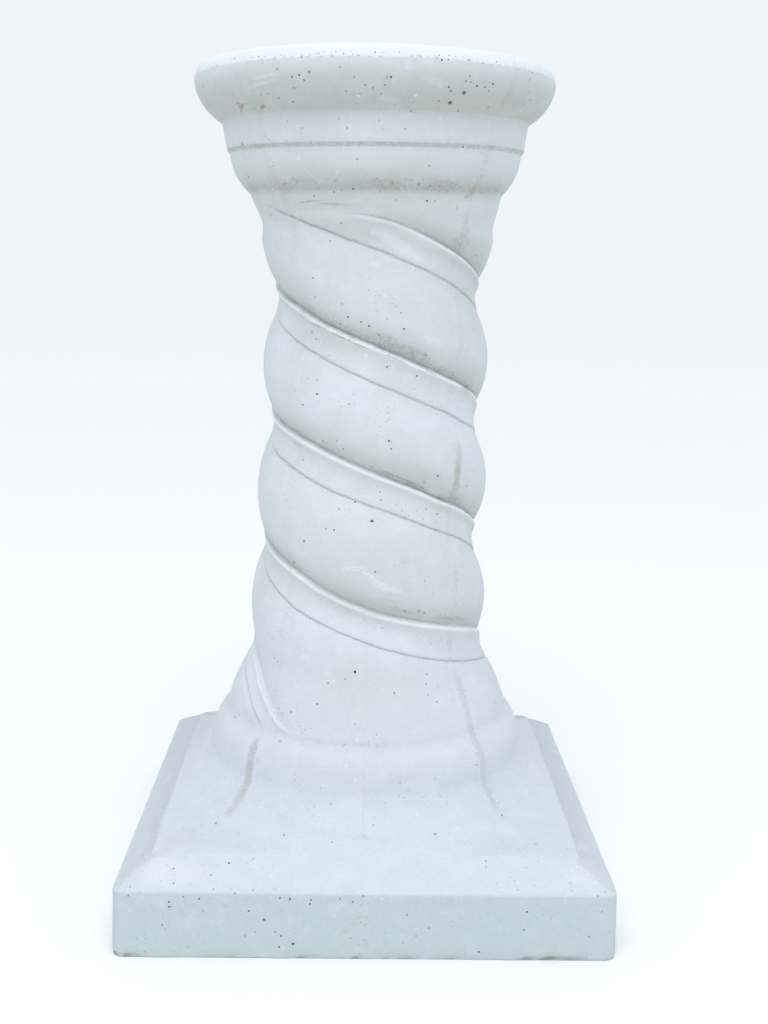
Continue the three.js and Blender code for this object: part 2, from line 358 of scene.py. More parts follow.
def plinth_outline():
    """Half widths and heights of the plinth's square rings, from the underside up."""
    half = PLINTH_WIDTH / 2
    foot = half - EDGE_ROUND
    rows = [(foot, 0), (half, EDGE_ROUND)]
    top = half - PLINTH_DRAFT
    for share in PLINTH_SHARES:
        rows.append((half - PLINTH_DRAFT * share, PLINTH_BAND * share))
    for inward, down in ARRIS_POINTS:
        rows.append((top - ARRIS_ROUND * inward, PLINTH_BAND - ARRIS_ROUND * down))
    bevel_start = top - ARRIS_ROUND
    for share in BEVEL_SHARES:
        reach = bevel_start + (PLATFORM_HALF - bevel_start) * share
        hollow = BEVEL_HOLLOW * math.sin(math.pi * share)
        rows.append((reach, PLINTH_BAND + BEVEL_RISE * share - hollow))
    return rows


PLINTH_ROWS = plinth_outline()
FOOT_ROWS = foot_outline()
RIM_ROWS = rim_outline()


def plinth_points(angle):
    """Names, radii and heights of one upright line over the plinth and its platform."""
    points = []
    for i, (reach, height) in enumerate(PLINTH_ROWS):
        points.append((f"plinth {i}", square_radius(angle, reach, PLINTH_CORNER), height))
    edge = square_radius(angle, PLATFORM_HALF, PLINTH_CORNER) - FOOT_RADIUS
    foot = math.exp(-edge / PLATFORM_EASE)
    for i, share in enumerate(PLATFORM_SHARES):
        away = edge * share
        lift = (math.exp(-away / PLATFORM_EASE) - foot) / (1 - foot)
        points.append((f"platform {i}", FOOT_RADIUS + away, PLATFORM_EDGE + FOOT_LIFT * lift))
    return points


def shaft_points(angle):
    """Rows of the shaft that follow the strands at one angle, from the bottom up."""
    points = []
    for turn in range(LOWEST_PASS, HIGHEST_PASS - 1, -1):
        along = angle + turn * STRAND_ANGLE
        top = float(crease_height(along))
        span = top - float(crease_height(along + STRAND_ANGLE))
        width = float(smooth_line(BAND_WIDTH, along))
        foot = width * BAND_REACH
        drops = np.concatenate([np.array(BAND_ROWS) * width, foot + np.array(ROLL_ROWS) * (span - foot)])
        heights = top - drops
        radii = shaft_radius(heights, drops, width, span, along)
        for i in reversed(range(len(drops))):
            if TWIST_LOW + ROW_GAP <= heights[i] <= TWIST_HIGH - ROW_GAP:
                below_line = drops[i] - width
                points.append((turn, i, radii[i], heights[i], drops[i], span, below_line, along))
    return points


def upright_line(angle):
    """One upright line of points, each with its name, turn, row and the facts that follow."""
    line = [(name, None, 0, radius, height, *NO_STRAND) for name, radius, height in plinth_points(angle)]
    line += [(f"foot {i}", None, 0, radius, height, *NO_STRAND)
             for i, (radius, height) in enumerate(FOOT_ROWS)]
    line += [(f"strand {turn} row {i}", turn, i, *rest) for turn, i, *rest in shaft_points(angle)]
    line += [(f"rim {i}", None, 0, radius, height, *NO_STRAND)
             for i, (radius, height) in enumerate(RIM_ROWS)]
    line += [(f"top {i}", None, 0, radius, HEIGHT, *NO_STRAND) for i, radius in enumerate(TOP_RINGS)]
    return line


def line_angles():
    """Angles of the upright lines, crowded at the four mould seams."""
    half = [SEAM_STEP * i for i in range(1, round(SEAM_REACH / SEAM_STEP) + 1)]
    steps = round((EIGHTH - half[-1]) / OPEN_STEP)
    half += [half[-1] + (EIGHTH - half[-1]) * (i + 1) / steps for i in range(steps)]
    sector = [-value for value in reversed(half[:-1])] + [0] + half
    return [seam + value for seam in SEAM_ANGLES for value in sector]


def paired_name(point, wraps):
    """A row's name on the next line round, one full turn on where the lines wrap."""
    if wraps and point[1] is not None:
        return f"strand {point[1] + STRANDS} row {point[2]}"
    return point[0]


def join_lines(left, right, left_start, right_start, wraps, faces):
    """Joins two neighbouring upright lines, pairing the rows that carry the same name."""
    left_names = [paired_name(point, wraps) for point in left]
    right_names = [point[0] for point in right]
    in_right = set(right_names)
    a = 0
    b = 0
    while a < len(left) - 1 or b < len(right) - 1:
        left_more = a < len(left) - 1
        right_more = b < len(right) - 1
        if left_more and right_more and left_names[a + 1] == right_names[b + 1]:
            faces.append((left_start + a, right_start + b, right_start + b + 1, left_start + a + 1))
            a += 1
            b += 1
        elif left_more and left_names[a + 1] not in in_right:
            faces.append((left_start + a, right_start + b, left_start + a + 1))
            a += 1
        else:
            faces.append((left_start + a, right_start + b, right_start + b + 1))
            b += 1


def casting_surface():
    """Faces, and facts of each vertex: its angle, radius, height, drop, span, way below the line, along."""
    angles = line_angles()
    lines = [upright_line(angle) for angle in angles]
    starts = np.cumsum([0] + [len(line) for line in lines]).tolist()
    facts = []
    for angle, line in zip(angles, lines):
        facts += [(angle, *point[3:]) for point in line]
    faces = []
    count = len(lines)
    for i in range(count):
        j = (i + 1) % count
        join_lines(lines[i], lines[j], starts[i], starts[j], j == 0, faces)
    ring = [(angle, radius, 0, *NO_STRAND) for radius in UNDERSIDE_RINGS for angle in angles]
    under = len(facts)
    facts += ring
    middle = len(facts)
    facts += [(0, 0, 0, *NO_STRAND), (0, 0, HEIGHT, *NO_STRAND)]
    for i in range(count):
        j = (i + 1) % count
        faces.append((starts[j], starts[i], under + i, under + j))
        faces.append((under + j, under + i, under + count + i, under + count + j))
        faces.append((under + count + j, under + count + i, middle))
        faces.append((starts[i + 1] - 1, starts[j + 1] - 1, middle + 1))
    return faces, np.array(facts, float)


def places_of(facts):
    turn = np.radians(facts[:, 0])
    return np.column_stack([facts[:, 1] * np.sin(turn), -facts[:, 1] * np.cos(turn), facts[:, 2]])


def crooked(places):
    """The casting's real lean: the sideways drift, and the rim's sag, tilt and curl."""
    bent = places.copy()
    height = places[:, 2]
    bent[:, 0] += smooth_line(DRIFT, height)
    aside = bent[:, 0]
    bent[:, 2] -= smooth_line(RIM_LOW, height) - smooth_line(RIM_TILT, height) * aside / RIM_SPAN
    bent[:, 2] += smooth_line(RIM_CURL, height) * np.minimum((aside / CURL_REACH) ** 2, CURL_MOST)
    return bent


def camera_axes():
    yaw = math.radians(CAMERA_YAW)
    pitch = math.radians(CAMERA_PITCH)
    forward = Vector((math.sin(yaw) * math.cos(pitch), math.cos(yaw) * math.cos(pitch), -math.sin(pitch)))
    level = Vector((math.cos(yaw), -math.sin(yaw), 0))
    above = level.cross(forward)
    right = math.cos(CAMERA_ROLL) * level + math.sin(CAMERA_ROLL) * above
    up = math.cos(CAMERA_ROLL) * above - math.sin(CAMERA_ROLL) * level
    return right, up, forward


def make_camera():
    right, up, forward = camera_axes()
    turn = Matrix((right, up, -forward)).transposed().to_4x4()
    data = bpy.data.cameras.new("camera")
    data.sensor_width = SENSOR
    data.lens = FOCAL_PIXELS * SENSOR / PICTURE_HEIGHT
    data.clip_end = FARTHEST_SEEN
    camera = bpy.data.objects.new("camera", data)
    camera.matrix_world = Matrix.Translation(Vector(CAMERA_PLACE) * MM) @ turn
    bpy.context.scene.collection.objects.link(camera)
    bpy.context.scene.camera = camera


class Surface:
    """Finds places on the casting, from a point of the picture or from beside it."""

    def __init__(self, places, faces):
        self.tree = BVHTree.FromPolygons(places.tolist(), faces)
        self.axes = camera_axes()

    def seen_at(self, x, y):
        """Place, outward normal and face under a point of the picture."""
        right, up, forward = self.axes
        ray = forward * FOCAL_PIXELS
        ray += right * (x - PICTURE_WIDTH / 2)
        ray += up * (PICTURE_HEIGHT / 2 - y)
        return self.tree.ray_cast(Vector(CAMERA_PLACE), ray.normalized())[:3]

    def beside(self, angle, height):
        """Place, normal and face where a level line from outside meets the casting."""
        turn = math.radians(angle)
        outward = Vector((math.sin(turn), -math.cos(turn), 0))
        start = outward * PLINTH_WIDTH + Vector((0, 0, height))
        return self.tree.ray_cast(start, -outward)[:3]


def seam_distance(facts):
    """Signed distance round the casting to the nearest mould seam."""
    off = (facts[:, 0] % QUARTER) - EIGHTH
    return np.radians(off) * facts[:, 1]


# Pits seen in the picture: x, y and width, in its pixels
PITS_SEEN = [
    (292, 77, 2.4), (299, 75, 2.4), (304, 80, 2.2), (309, 72, 2.2), (294, 88, 1.8), (277, 69, 1.6),
    (340, 67, 1.6), (354, 77, 1.6), (365, 85, 1.8), (373, 88, 1.8), (385, 85, 1.8), (387, 77, 1.8),
    (391, 77, 2.6), (394, 75, 1.8), (381, 94, 1.6), (346, 91, 1.6), (360, 94, 1.6), (293, 102, 2.4),
    (268, 94, 1.6), (261, 95, 1.6), (279, 98, 1.6), (357, 104, 1.6), (411, 111, 1.8), (442, 60, 2.4),
    (449, 87, 2.2), (451, 91, 2.2), (464, 93, 5.2), (450, 103, 5.4), (458, 111, 2.8), (439, 101, 2),
    (466, 81, 1.8), (470, 76, 1.8), (469, 60, 1.8), (471, 82, 1.8), (477, 86, 2.6), (485, 87, 2.2),
    (493, 84, 2.8), (489, 91, 2), (488, 107, 2), (530, 100, 2), (524, 104, 2), (521, 106, 1.8),
    (529, 92, 1.6), (530, 80, 1.8), (339, 119, 1.4), (347, 128, 1.6), (302, 128, 1.6), (379, 120, 1.4),
    (405, 129, 1.6), (242, 144, 1.8), (463, 147, 2.8), (357, 159, 1.8), (429, 166, 1.8),
    (334, 192, 2), (353, 189, 2.4), (314, 196, 1.8), (380, 192, 1.6), (427, 201, 2.8), (435, 201, 1.6),
    (419, 184, 2), (430, 186, 2), (396, 200, 1.6), (509, 175, 1.8), (341, 223, 1.8), (330, 241, 1.8),
    (313, 278, 2.4), (315, 297, 1.8), (342, 304, 1.8), (348, 317, 2.6), (361, 322, 2.2), (369, 326, 2.6),
    (404, 329, 2.6), (401, 313, 1.6), (340, 324, 2), (379, 335, 2), (312, 332, 2.2), (316, 339, 2),
    (387, 367, 2.4), (417, 376, 2.2), (439, 374, 2.8), (380, 348, 1.8), (386, 389, 2.4), (317, 394, 3),
    (303, 405, 2.2), (349, 404, 2), (476, 255, 2.2), (472, 392, 3), (473, 410, 2.2), (317, 380, 1.6),
    (389, 441, 2.8), (391, 449, 2.2), (372, 467, 2.2), (438, 476, 2.8), (424, 482, 2), (482, 456, 1.8),
    (467, 486, 2), (355, 502, 2.6), (381, 500, 2), (380, 492, 1.8), (372, 521, 4), (426, 509, 2),
    (437, 514, 2.4), (417, 523, 2.8), (339, 509, 1.6), (334, 530, 2.4), (326, 529, 1.8), (304, 541, 2.8),
    (337, 441, 1.8), (323, 441, 1.8), (343, 449, 2), (303, 460, 1.8), (375, 572, 2.4), (405, 611, 2),
    (419, 611, 2.4), (424, 613, 2.8), (382, 628, 1.8), (274, 658, 2.4), (277, 662, 2), (355, 672, 3.8),
    (427, 674, 2), (310, 619, 1.8), (328, 683, 2), (345, 679, 1.8), (317, 704, 2.4), (394, 693, 2),
    (426, 684, 2), (428, 695, 2), (437, 702, 2), (438, 706, 2), (291, 712, 2.4), (355, 724, 1.6),
    (280, 741, 2), (284, 835, 2.4), (435, 834, 2.4), (502, 815, 3), (476, 765, 1.8), (536, 844, 2),
    (216, 823, 3), (331, 804, 1.8), (229, 863, 2.6), (332, 842, 1.6), (169, 902, 2.6), (169, 907, 2.4),
    (183, 897, 1.8), (199, 899, 2.2), (203, 911, 1.8), (249, 911, 2.4), (264, 920, 4), (280, 898, 2.2),
    (290, 899, 2.6), (311, 900, 2.4), (310, 904, 2.4), (353, 902, 2.2), (340, 899, 1.8), (363, 896, 2),
    (407, 915, 2), (429, 928, 1.8), (416, 936, 1.8), (255, 932, 1.8), (275, 932, 2), (281, 936, 2.6),
    (279, 947, 2.4), (293, 944, 3.4), (162, 925, 2), (245, 936, 1.8), (527, 912, 2.6), (524, 930, 2.2),
    (589, 937, 2), (479, 952, 2.6), (598, 896, 2.2), (602, 912, 1.8), (235, 893, 1.8), (253, 890, 1.8),
    (128, 896, 2),
]
PIXEL_ON_SHAFT = 0.8
PIT_PER_PIXEL = 0.66

# Pits on the sides that the picture doesn't show, and fine ones all round: lowest and highest
# height, first and last angle, how many, least and greatest width
PIT_ZONES = [
    (660, 688, 68, 292, 60, 0.8, 2.6),
    (687.5, 691.5, -180, 180, 420, 0.5, 1.2),
    (634, 652, 60, 300, 16, 0.8, 1.6),
    (600, 628, 60, 300, 18, 0.8, 1.8),
    (160, 590, 68, 292, 120, 0.8, 2.2),
    (56, 73, 50, 310, 70, 0.7, 1.7),
    (56, 73, -50, -28, 34, 0.6, 1.2),
    (56, 73, 28, 50, 34, 0.6, 1.2),
    (4, 52, 46, 314, 80, 0.8, 2.4),
    (86, 150, 60, 300, 24, 0.8, 1.8),
]
TOP_PITS = 70
TOP_PIT_REACH = 140
TOP_PIT_WIDTHS = (1.2, 3.0)
POCKS_IN_SPALL = 15
POCKS_IN_SEAM = 14
POCK_WIDTHS = (0.45, 1.0)

TINY_PIT = 1.0
# Pits narrower than these have so many sides
PIT_SIDES = [(TINY_PIT, 5), (2, 7), (math.inf, 10)]
# Rings of a pit from its rim down: share of its radius, share of its depth, share of its dirt and painted
# shade
PIT_RINGS = ((1, 0, 0), (0.86, 0.45, 0.9), (0.55, 0.95, 1))
TINY_PIT_RINGS = ((1, 0, 0), (0.75, 0.8, 1))
# A pit needs this many times its own radius of clear surface
PIT_MARGIN = 1.3
PIT_DEPTHS = (1.0, 1.6)
PIT_TURNS = (0, 6.28)
# How far a pit is from round: by three lobes, by two
PIT_LOBES = (0.14, 0.1)
WIDE_PIT = 2.6
# How dark wide pits are painted: dirt and painted shade
WIDE_PIT_DARKNESS = 0.6


def scattered_pits(surface, rng):
    """Pits that the picture doesn't show one by one, by zone, mark and seam."""
    pits = []
    for low, high, first, last, count, narrow, wide in PIT_ZONES:
        for _ in range(count):
            angle = rng.uniform(first, last)
            height = rng.uniform(low, high)
            width = narrow + (wide - narrow) * rng.random() ** 2
            pits.append((surface.beside(angle, height), width))
    pits += pocks(surface, rng, SPALL_MARKS, POCKS_IN_SPALL)
    pits += pocks(surface, rng, SEAM_POCKS, POCKS_IN_SEAM)
    for _ in range(TOP_PITS):
        reach = TOP_PIT_REACH * math.sqrt(rng.random())
        turn = rng.uniform(0, 2 * math.pi)
        start = Vector((reach * math.cos(turn), reach * math.sin(turn), 2 * HEIGHT))
        hit = surface.tree.ray_cast(start, Vector((0, 0, -1)))[:3]
        pits.append((hit, rng.uniform(*TOP_PIT_WIDTHS)))
    return pits


def pocks(surface, rng, listing, count):
    """Tiny pits strewn over the listed oval marks of the picture."""
    pits = []
    for x, y, half_long, half_high, tilt, strength in listing:
        turn = math.radians(tilt)
        for _ in range(round(count * strength)):
            reach = math.sqrt(rng.random())
            spot = rng.uniform(0, 2 * math.pi)
            long = reach * half_long * math.cos(spot)
            high = reach * half_high * math.sin(spot)
            place_x = x + long * math.cos(turn) - high * math.sin(turn)
            place_y = y + long * math.sin(turn) + high * math.cos(turn)
            pits.append((surface.seen_at(place_x, place_y), rng.uniform(*POCK_WIDTHS)))
    return pits


class Casting:
    """The mesh while pits are cut into it: places, faces, and numbers carried by each vertex."""

    def __init__(self, places, faces, carried):
        self.places = [Vector(place) for place in places.tolist()]
        self.faces = list(faces)
        self.carried = {name: list(values) for name, values in carried.items()}
        self.face_on = {}
        for f, face in enumerate(self.faces):
            for a, b in zip(face, face[1:] + face[:1]):
                self.face_on[(a, b)] = f
        self.gone = set()
        self.fresh = []
        self.rims = []

    def region(self, first, centre, reach):
        """Faces round the first one that a circle of that reach touches."""
        found = {first}
        waiting = [first]
        while waiting:
            face = self.faces[waiting.pop()]
            for a, b in zip(face, face[1:] + face[:1]):
                closest = nearest_on(centre, self.places[a], self.places[b])
                other = self.face_on.get((b, a))
                if (closest - centre).length < reach and other is not None and other not in found:
                    found.add(other)
                    waiting.append(other)
        return found

    def border(self, region):
        """The region's edge as one loop of vertices, or None where it isn't one plain loop."""
        after = {}
        for f in region:
            face = self.faces[f]
            for a, b in zip(face, face[1:] + face[:1]):
                if self.face_on.get((b, a)) not in region:
                    if a in after:
                        return None
                    after[a] = b
        first = next(iter(after))
        loop = [first]
        while after[loop[-1]] != first:
            loop.append(after[loop[-1]])
        return loop if len(loop) == len(after) else None

    def add(self, place, like, **changed):
        self.places.append(place)
        for name, values in self.carried.items():
            values.append(changed.get(name, values[like]))
        return len(self.places) - 1

    def cut(self, hit, width, surface, sides, depth_share, turn):
        """Cuts one round pit of that width into the face that was hit."""
        centre, normal, first = hit
        if centre is None or first in self.gone:
            return False
        radius = width / 2
        region = self.region(first, centre, radius * PIT_MARGIN)
        if region & self.gone:
            return False
        loop = self.border(region)
        if loop is None:
            return False
        across = normal.orthogonal().normalized()
        along = normal.cross(across)

        def angle_of(place):
            off = place - centre
            return math.atan2(off.dot(along), off.dot(across))

        base = angle_of(self.places[loop[0]])
        outer = [(angle_of(self.places[v]) - base) % (2 * math.pi) for v in loop]
        if any(b <= a for a, b in zip(outer, outer[1:])):
            return False
        like = loop[0]
        three, two = PIT_LOBES
        rings = []
        # How dark the pit is painted: dirt and painted shade
        dark = 1.0 if width < WIDE_PIT else WIDE_PIT_DARKNESS
        for share, sink, darkened in TINY_PIT_RINGS if width < TINY_PIT else PIT_RINGS:
            ring = []
            for k in range(sides):
                spot = base + 2 * math.pi * (k + 0.5 * (share < 1)) / sides
                uneven = 1 + three * math.sin(3 * spot + turn) + two * math.sin(2 * spot - turn)
                flat = across * math.cos(spot) + along * math.sin(spot)
                place = centre + flat * radius * share * uneven
                if share == 1:
                    place = surface.tree.find_nearest(place)[0]
                else:
                    place = place - normal * radius * depth_share * sink
                ring.append(self.add(place, like, pit=darkened * dark))
            rings.append(ring)
        deepest = self.add(centre - normal * radius * depth_share, like, pit=dark)
        self.stitch(loop, outer, rings[0])
        for upper, lower in zip(rings, rings[1:]):
            for k in range(sides):
                k2 = (k + 1) % sides
                self.fresh.append((upper[k], upper[k2], lower[k]))
                self.fresh.append((upper[k2], lower[k2], lower[k]))
        for k in range(sides):
            self.fresh.append((rings[-1][k], rings[-1][(k + 1) % sides], deepest))
        self.rims.append(rings[0])
        self.gone |= region
        return True

    def stitch(self, loop, outer, ring):
        """Fills the strip between the region's edge and the pit's rim."""
        sides = len(ring)
        i = 0
        j = 0
        while i < len(loop) or j < sides:
            next_outer = outer[i + 1] if i + 1 < len(loop) else 2 * math.pi
            next_inner = 2 * math.pi * (j + 1) / sides
            here = loop[i % len(loop)]
            if i < len(loop) and (j >= sides or next_outer <= next_inner):
                self.fresh.append((here, loop[(i + 1) % len(loop)], ring[j % sides]))
                i += 1
            else:
                self.fresh.append((here, ring[(j + 1) % sides], ring[j % sides]))
                j += 1

    def result(self):
        """Places, faces and carried numbers of what is left, with no loose vertex."""
        faces = [face for f, face in enumerate(self.faces) if f not in self.gone] + self.fresh
        used = sorted({v for face in faces for v in face})
        new = {old: i for i, old in enumerate(used)}
        faces = [tuple(new[v] for v in face) for face in faces]
        places = [self.places[v] for v in used]
        carried = {name: [values[v] for v in used] for name, values in self.carried.items()}
        rims = [[new[v] for v in ring] for ring in self.rims]
        return places, faces, carried, rims


def nearest_on(point, start, end):
    along = end - start
    share = (point - start).dot(along) / max(along.length_squared, 1e-9)
    return start + along * min(1, max(0, share))


# How dirty the crease over the ledge is: angle along the strand, share
CREASE_DIRT = [[10, 0.1], [25, 0.5], [50, 0.9], [75, 0.8], [105, 0.3], [120, 0.6], [200, 0.7], [255, 0.7],
               [280, 0.2], [298, 0.9], [340, 0.8], [352, 0.5], [368, 0.9], [392, 0.9], [400, 0.4],
               [425, 0.6], [450, 0.2], [480, 0.5], [500, 0.8], [512, 0.4], [538, 0.4], [550, 0.9],
               [612, 0.9], [632, 0.2], [650, 0.1]]


# Dirt, and painted shade in the rows named shade: its least strength, what patches add to it, where it is
# and how far it reaches
CREASE_GRIME = (0.1, 0.75, 0, 1.1)
LEDGE_GRIME = (0.35, 0, 0, 0.5)
LINE_GRIME = (0.1, 0.55, 0, 0.8)
NECK_GRIME = (0.2, 0.5, -0.3, 1.2)
FILLET_GRIME = (0.5, 0.6, 630.6, 1.3)
BEAD_GRIME = (0, 0.75, 599.5, 3.6)
FOOT_GRIME = (0.04, 0.3, 149.5, 2.4)
FOOT_GRIME_FRONT = (1, 20)
# Painted shade under the bead, on the torus and in the crease over the foot
BEAD_SHADE = (0.45, 0.4, 600.5, 6.5)
TORUS_SHADES = [(0.9, 0, 662, 10), (0.3, 0, 677, 9)]
FOOT_SHADE = (0, 0.25, 149.5, 5)
# Painted shade where a roll tucks in over a crease: its least strength and what ripples add, where it
# starts, its reach, how much farther it reaches high up, and how little of it is left low down
TUCK_SHADE = (0.3, 0.5)
TUCK_START = 1
TUCK_REACH = 11
TUCK_WIDENS = 5
TUCK_WIDE_HEIGHTS = (520, 560)
TUCK_LOW_SHARE = 0.35
TUCK_LOW_HEIGHTS = (215, 270)
# Dirt and painted shade fade with the carving, but later than it does
DIRT_AND_SHADE_RELIEF = 1.3


def patchy_amount(value, patches, least, added, at, reach):
    """Patchy amount round the place where the value is at: dirt in the creases and lines, painted shade in
    the wide zones.
    """
    return (least + added * patches) * near(value, at, reach)


def grime_amount(facts, ripple, patches):
    """How dark the dirt is at each vertex, in the narrow creases and lines."""
    height, drop, span, below_line, along = facts[:, 2:].T
    rise = span - drop
    dirt_above = smooth_line(CREASE_DIRT, along + STRAND_ANGLE)
    dirt_below = smooth_line(CREASE_DIRT, along)
    crease = dirt_above * patchy_amount(rise, patches, *CREASE_GRIME)
    crease += dirt_below * patchy_amount(drop, patches, *LEDGE_GRIME)
    total = crease * np.clip(relief_at(height) * DIRT_AND_SHADE_RELIEF, 0, 1)
    total += patchy_amount(below_line, patches, *LINE_GRIME) * line_at(height)
    total += patchy_amount(drop, patches, *NECK_GRIME) * on_neck(height, along)
    total += patchy_amount(height, patches, *FILLET_GRIME)
    total += patchy_amount(height, ripple, *BEAD_GRIME)
    total += patchy_amount(height, ripple * near(facts[:, 0], *FOOT_GRIME_FRONT), *FOOT_GRIME)
    return np.clip(total, 0, 1)


def shade_amount(facts, ripple):
    """How much painted shade each vertex gets, in the wide zones under rolls and mouldings."""
    height, drop, span = facts[:, 2], facts[:, 3], facts[:, 4]
    reach = TUCK_REACH + TUCK_WIDENS * ease_between(*TUCK_WIDE_HEIGHTS, height)
    above_crease = np.maximum(span - drop - TUCK_START, 0)
    tucked = patchy_amount(above_crease, ripple, *TUCK_SHADE, 0, reach)
    tucked *= TUCK_LOW_SHARE + (1 - TUCK_LOW_SHARE) * ease_between(*TUCK_LOW_HEIGHTS, height)
    total = tucked * np.clip(relief_at(height) * DIRT_AND_SHADE_RELIEF, 0, 1)
    for shade in [BEAD_SHADE, *TORUS_SHADES, FOOT_SHADE]:
        total += patchy_amount(height, ripple, *shade)
    return np.clip(total, 0, 1)


# Smooth noise: about how wide its waves are, and its seed
WAVES = (38, 1)
LUMPS = (9, 2)
GRAINS = (2.6, 3)
RIPPLE = (24, 4)
PATCHES = (8, 7)
SEAM_PATCHES = (30, 8)
WAVER = (5, 9)
SWAY = (16, 10)
BREAKS = (7, 5)
FINE_BREAKS = (2.5, 6)
SEED_STEPS = (7.3, 3.1, 5.7)


def ripples(places, width, seed):
    """Smooth noise between 0 and 1 at each place."""
    scale = 1 / width
    shift = Vector([seed * step for step in SEED_STEPS])
    return np.array([0.5 + 0.5 * noise.noise(Vector(place) * scale + shift) for place in places.tolist()])


def outward_normals(places, faces):
    """Mean normal at each vertex."""
    normals = np.zeros_like(places)
    for size in (3, 4):
        flat = np.array([face for face in faces if len(face) == size])
        across = places[flat[:, size - 2]] - places[flat[:, 0]]
        other = places[flat[:, size - 1]] - places[flat[:, size - 3]]
        normal = np.cross(across, other) if size == 4 else np.cross(
            places[flat[:, 1]] - places[flat[:, 0]], places[flat[:, 2]] - places[flat[:, 0]])
        for k in range(size):
            np.add.at(normals, flat[:, k], normal)
    length = np.linalg.norm(normals, axis=1, keepdims=True)
    return normals / np.maximum(length, 1e-9)


# Raised smears and knocks seen in the picture: x, y, half length, half height in pixels, tilt, rise
SMEARS = [
    (352, 569, 12, 2.5, -4, 0.7), (368, 575, 8, 2.2, 25, 1.0), (380, 585, 12, 3.5, 28, 1.1),
    (392, 590, 9, 3.0, 10, 0.9), (378, 597, 10, 2.5, -8, 0.6), (423, 604, 3, 2, 0, 0.9),
    (403, 640, 5, 4, -20, 0.6), (402, 650, 2.5, 5, 0, 0.6), (455, 570, 2.5, 5, 0, 0.6),
    (457, 600, 2.5, 7, 8, 0.6), (265, 76, 15, 1.5, 3, 0.35), (262, 83, 14, 1.5, -2, 0.35),
    (425, 79, 4, 2.5, 10, 0.5), (434, 82, 4, 2, 0, 0.4), (441, 84, 3, 2, 0, 0.4),
    (390, 99, 9, 1.5, 2, 0.35), (300, 67, 4, 1.5, 10, 0.4), (305, 657, 4, 3, 0, 0.5),
    (374, 264, 6, 2.5, 0, 0.35), (434, 340, 6, 2.5, 15, 0.5), (466, 318, 3, 4, 0, 0.4),
]
# Shallow chips: x, y, half width in pixels, depth
CHIPS = [
    (409, 64, 4.5, 1.1), (412, 78, 2.5, 0.6), (302, 668, 3, 0.4), (147, 874, 4, 0.8), (602, 880, 4, 0.9),
    (573, 880, 3, 0.6), (240, 62, 3, 0.5), (448, 370, 3, 0.8), (232, 722, 3, 0.5),
]


# How high the casting's own unevenness stands: waves, lumps, sand on the seams, and broken creases,
# with how far those sink and the grime from which they break
WAVE_HEIGHT = 0.7
LUMP_HEIGHT = 0.28
SAND_HEIGHT = 1.3
BROKEN_HEIGHT = 1.1
BROKEN_SINK = 0.15
BROKEN_FROM = 0.35
SMEAR_LEAST = 0.7
SMEAR_DEPTH = 12
TOP_QUIET = 0.35
TOUCHING = 0.01
# Waver of the lines and ledges: its two heights, how far it reaches and its share at the ledges
WAVER_HEIGHT = 1.5
SWAY_HEIGHT = 1.2
WAVER_REACH = 2.2
LEDGE_WAVER = 0.7
# Wear of the plinth's edges: where it starts in the noise and how deep it goes
BOTTOM_EDGE = (0.4, 2.6)
ARRIS_REACH = 1.6
CORNER_REACH = 9
CORNER_WEAR = 1.4
BIG_WEAR = (0.48, 9)
SMALL_WEAR = (0.5, 4)
ARRIS_WEAR = (0.55, 3)


def roughen(places, facts, faces, sand, grime, surface):
    """Moves the surface a little: uneven casting, rough seams, spalled creases, smears and chips."""
    normals = outward_normals(places, faces)
    waves = ripples(places, *WAVES) - 0.5
    lumps = ripples(places, *LUMPS) - 0.5
    grains = ripples(places, *GRAINS) - 0.5
    below_top = np.abs(facts[:, 2] - HEIGHT) > TOUCHING
    off_ground = facts[:, 2] > TOUCHING
    move = WAVE_HEIGHT * waves + LUMP_HEIGHT * lumps
    move += SAND_HEIGHT * grains * sand
    move += BROKEN_HEIGHT * (grains - BROKEN_SINK) * np.clip(grime - BROKEN_FROM, 0, 1)
    for x, y, half_long, half_high, tilt, rise in SMEARS:
        share = smear_share(places, surface, x, y, half_long, half_high, tilt)
        move += rise * share * (SMEAR_LEAST + grains)
    for x, y, half, depth in CHIPS:
        move -= depth * smear_share(places, surface, x, y, half, half, 0)
    move -= bottom_wear(places, facts)
    quiet = np.where(below_top, 1.0, TOP_QUIET) * np.where(off_ground, 1.0, 0.0)
    return places + normals * (move * quiet)[:, None]


def ragged_edges(places, facts):
    """Small waver, up and down, of the incised line and of the edge over each ledge."""
    drop, span, below_line = facts[:, 3], facts[:, 4], facts[:, 5]
    waver = ripples(places, *WAVER) - 0.5
    sway = ripples(places, *SWAY) - 0.5
    near_ledge = LEDGE_WAVER * bell(np.minimum(drop, span - drop), WAVER_REACH)
    near_line = bell(below_line, WAVER_REACH)
    wandering = WAVER_HEIGHT * waver + SWAY_HEIGHT * sway
    return wandering * (near_line + near_ledge) * line_at(facts[:, 2])


def smear_share(places, surface, x, y, half_long, half_high, tilt):
    """How much each vertex lies in an oval mark round a point of the picture."""
    hit = surface.seen_at(x, y)
    if hit[0] is None:
        return np.zeros(len(places))
    right, up, _ = surface.axes
    off = places - np.array(hit[0])
    turn = math.radians(tilt)
    level = off @ np.array(right)
    upward = off @ np.array(up)
    long = level * math.cos(turn) - upward * math.sin(turn)
    high = level * math.sin(turn) + upward * math.cos(turn)
    depth = off @ np.array(hit[1])
    spread = (long / (half_long * PIXEL_ON_SHAFT)) ** 2 + (high / (half_high * PIXEL_ON_SHAFT)) ** 2
    return np.exp(-spread) * (np.abs(depth) < SMEAR_DEPTH)


def mark_amount(places, surface, listing):
    """Greatest strength of the listed oval marks at each vertex."""
    amount = np.zeros(len(places))
    for x, y, half_long, half_high, tilt, strength in listing:
        share = smear_share(places, surface, x, y, half_long, half_high, tilt)
        amount = np.maximum(amount, strength * share)
    return amount


def worn(values, start, depth):
    return np.clip(values - start, 0, 1) * depth


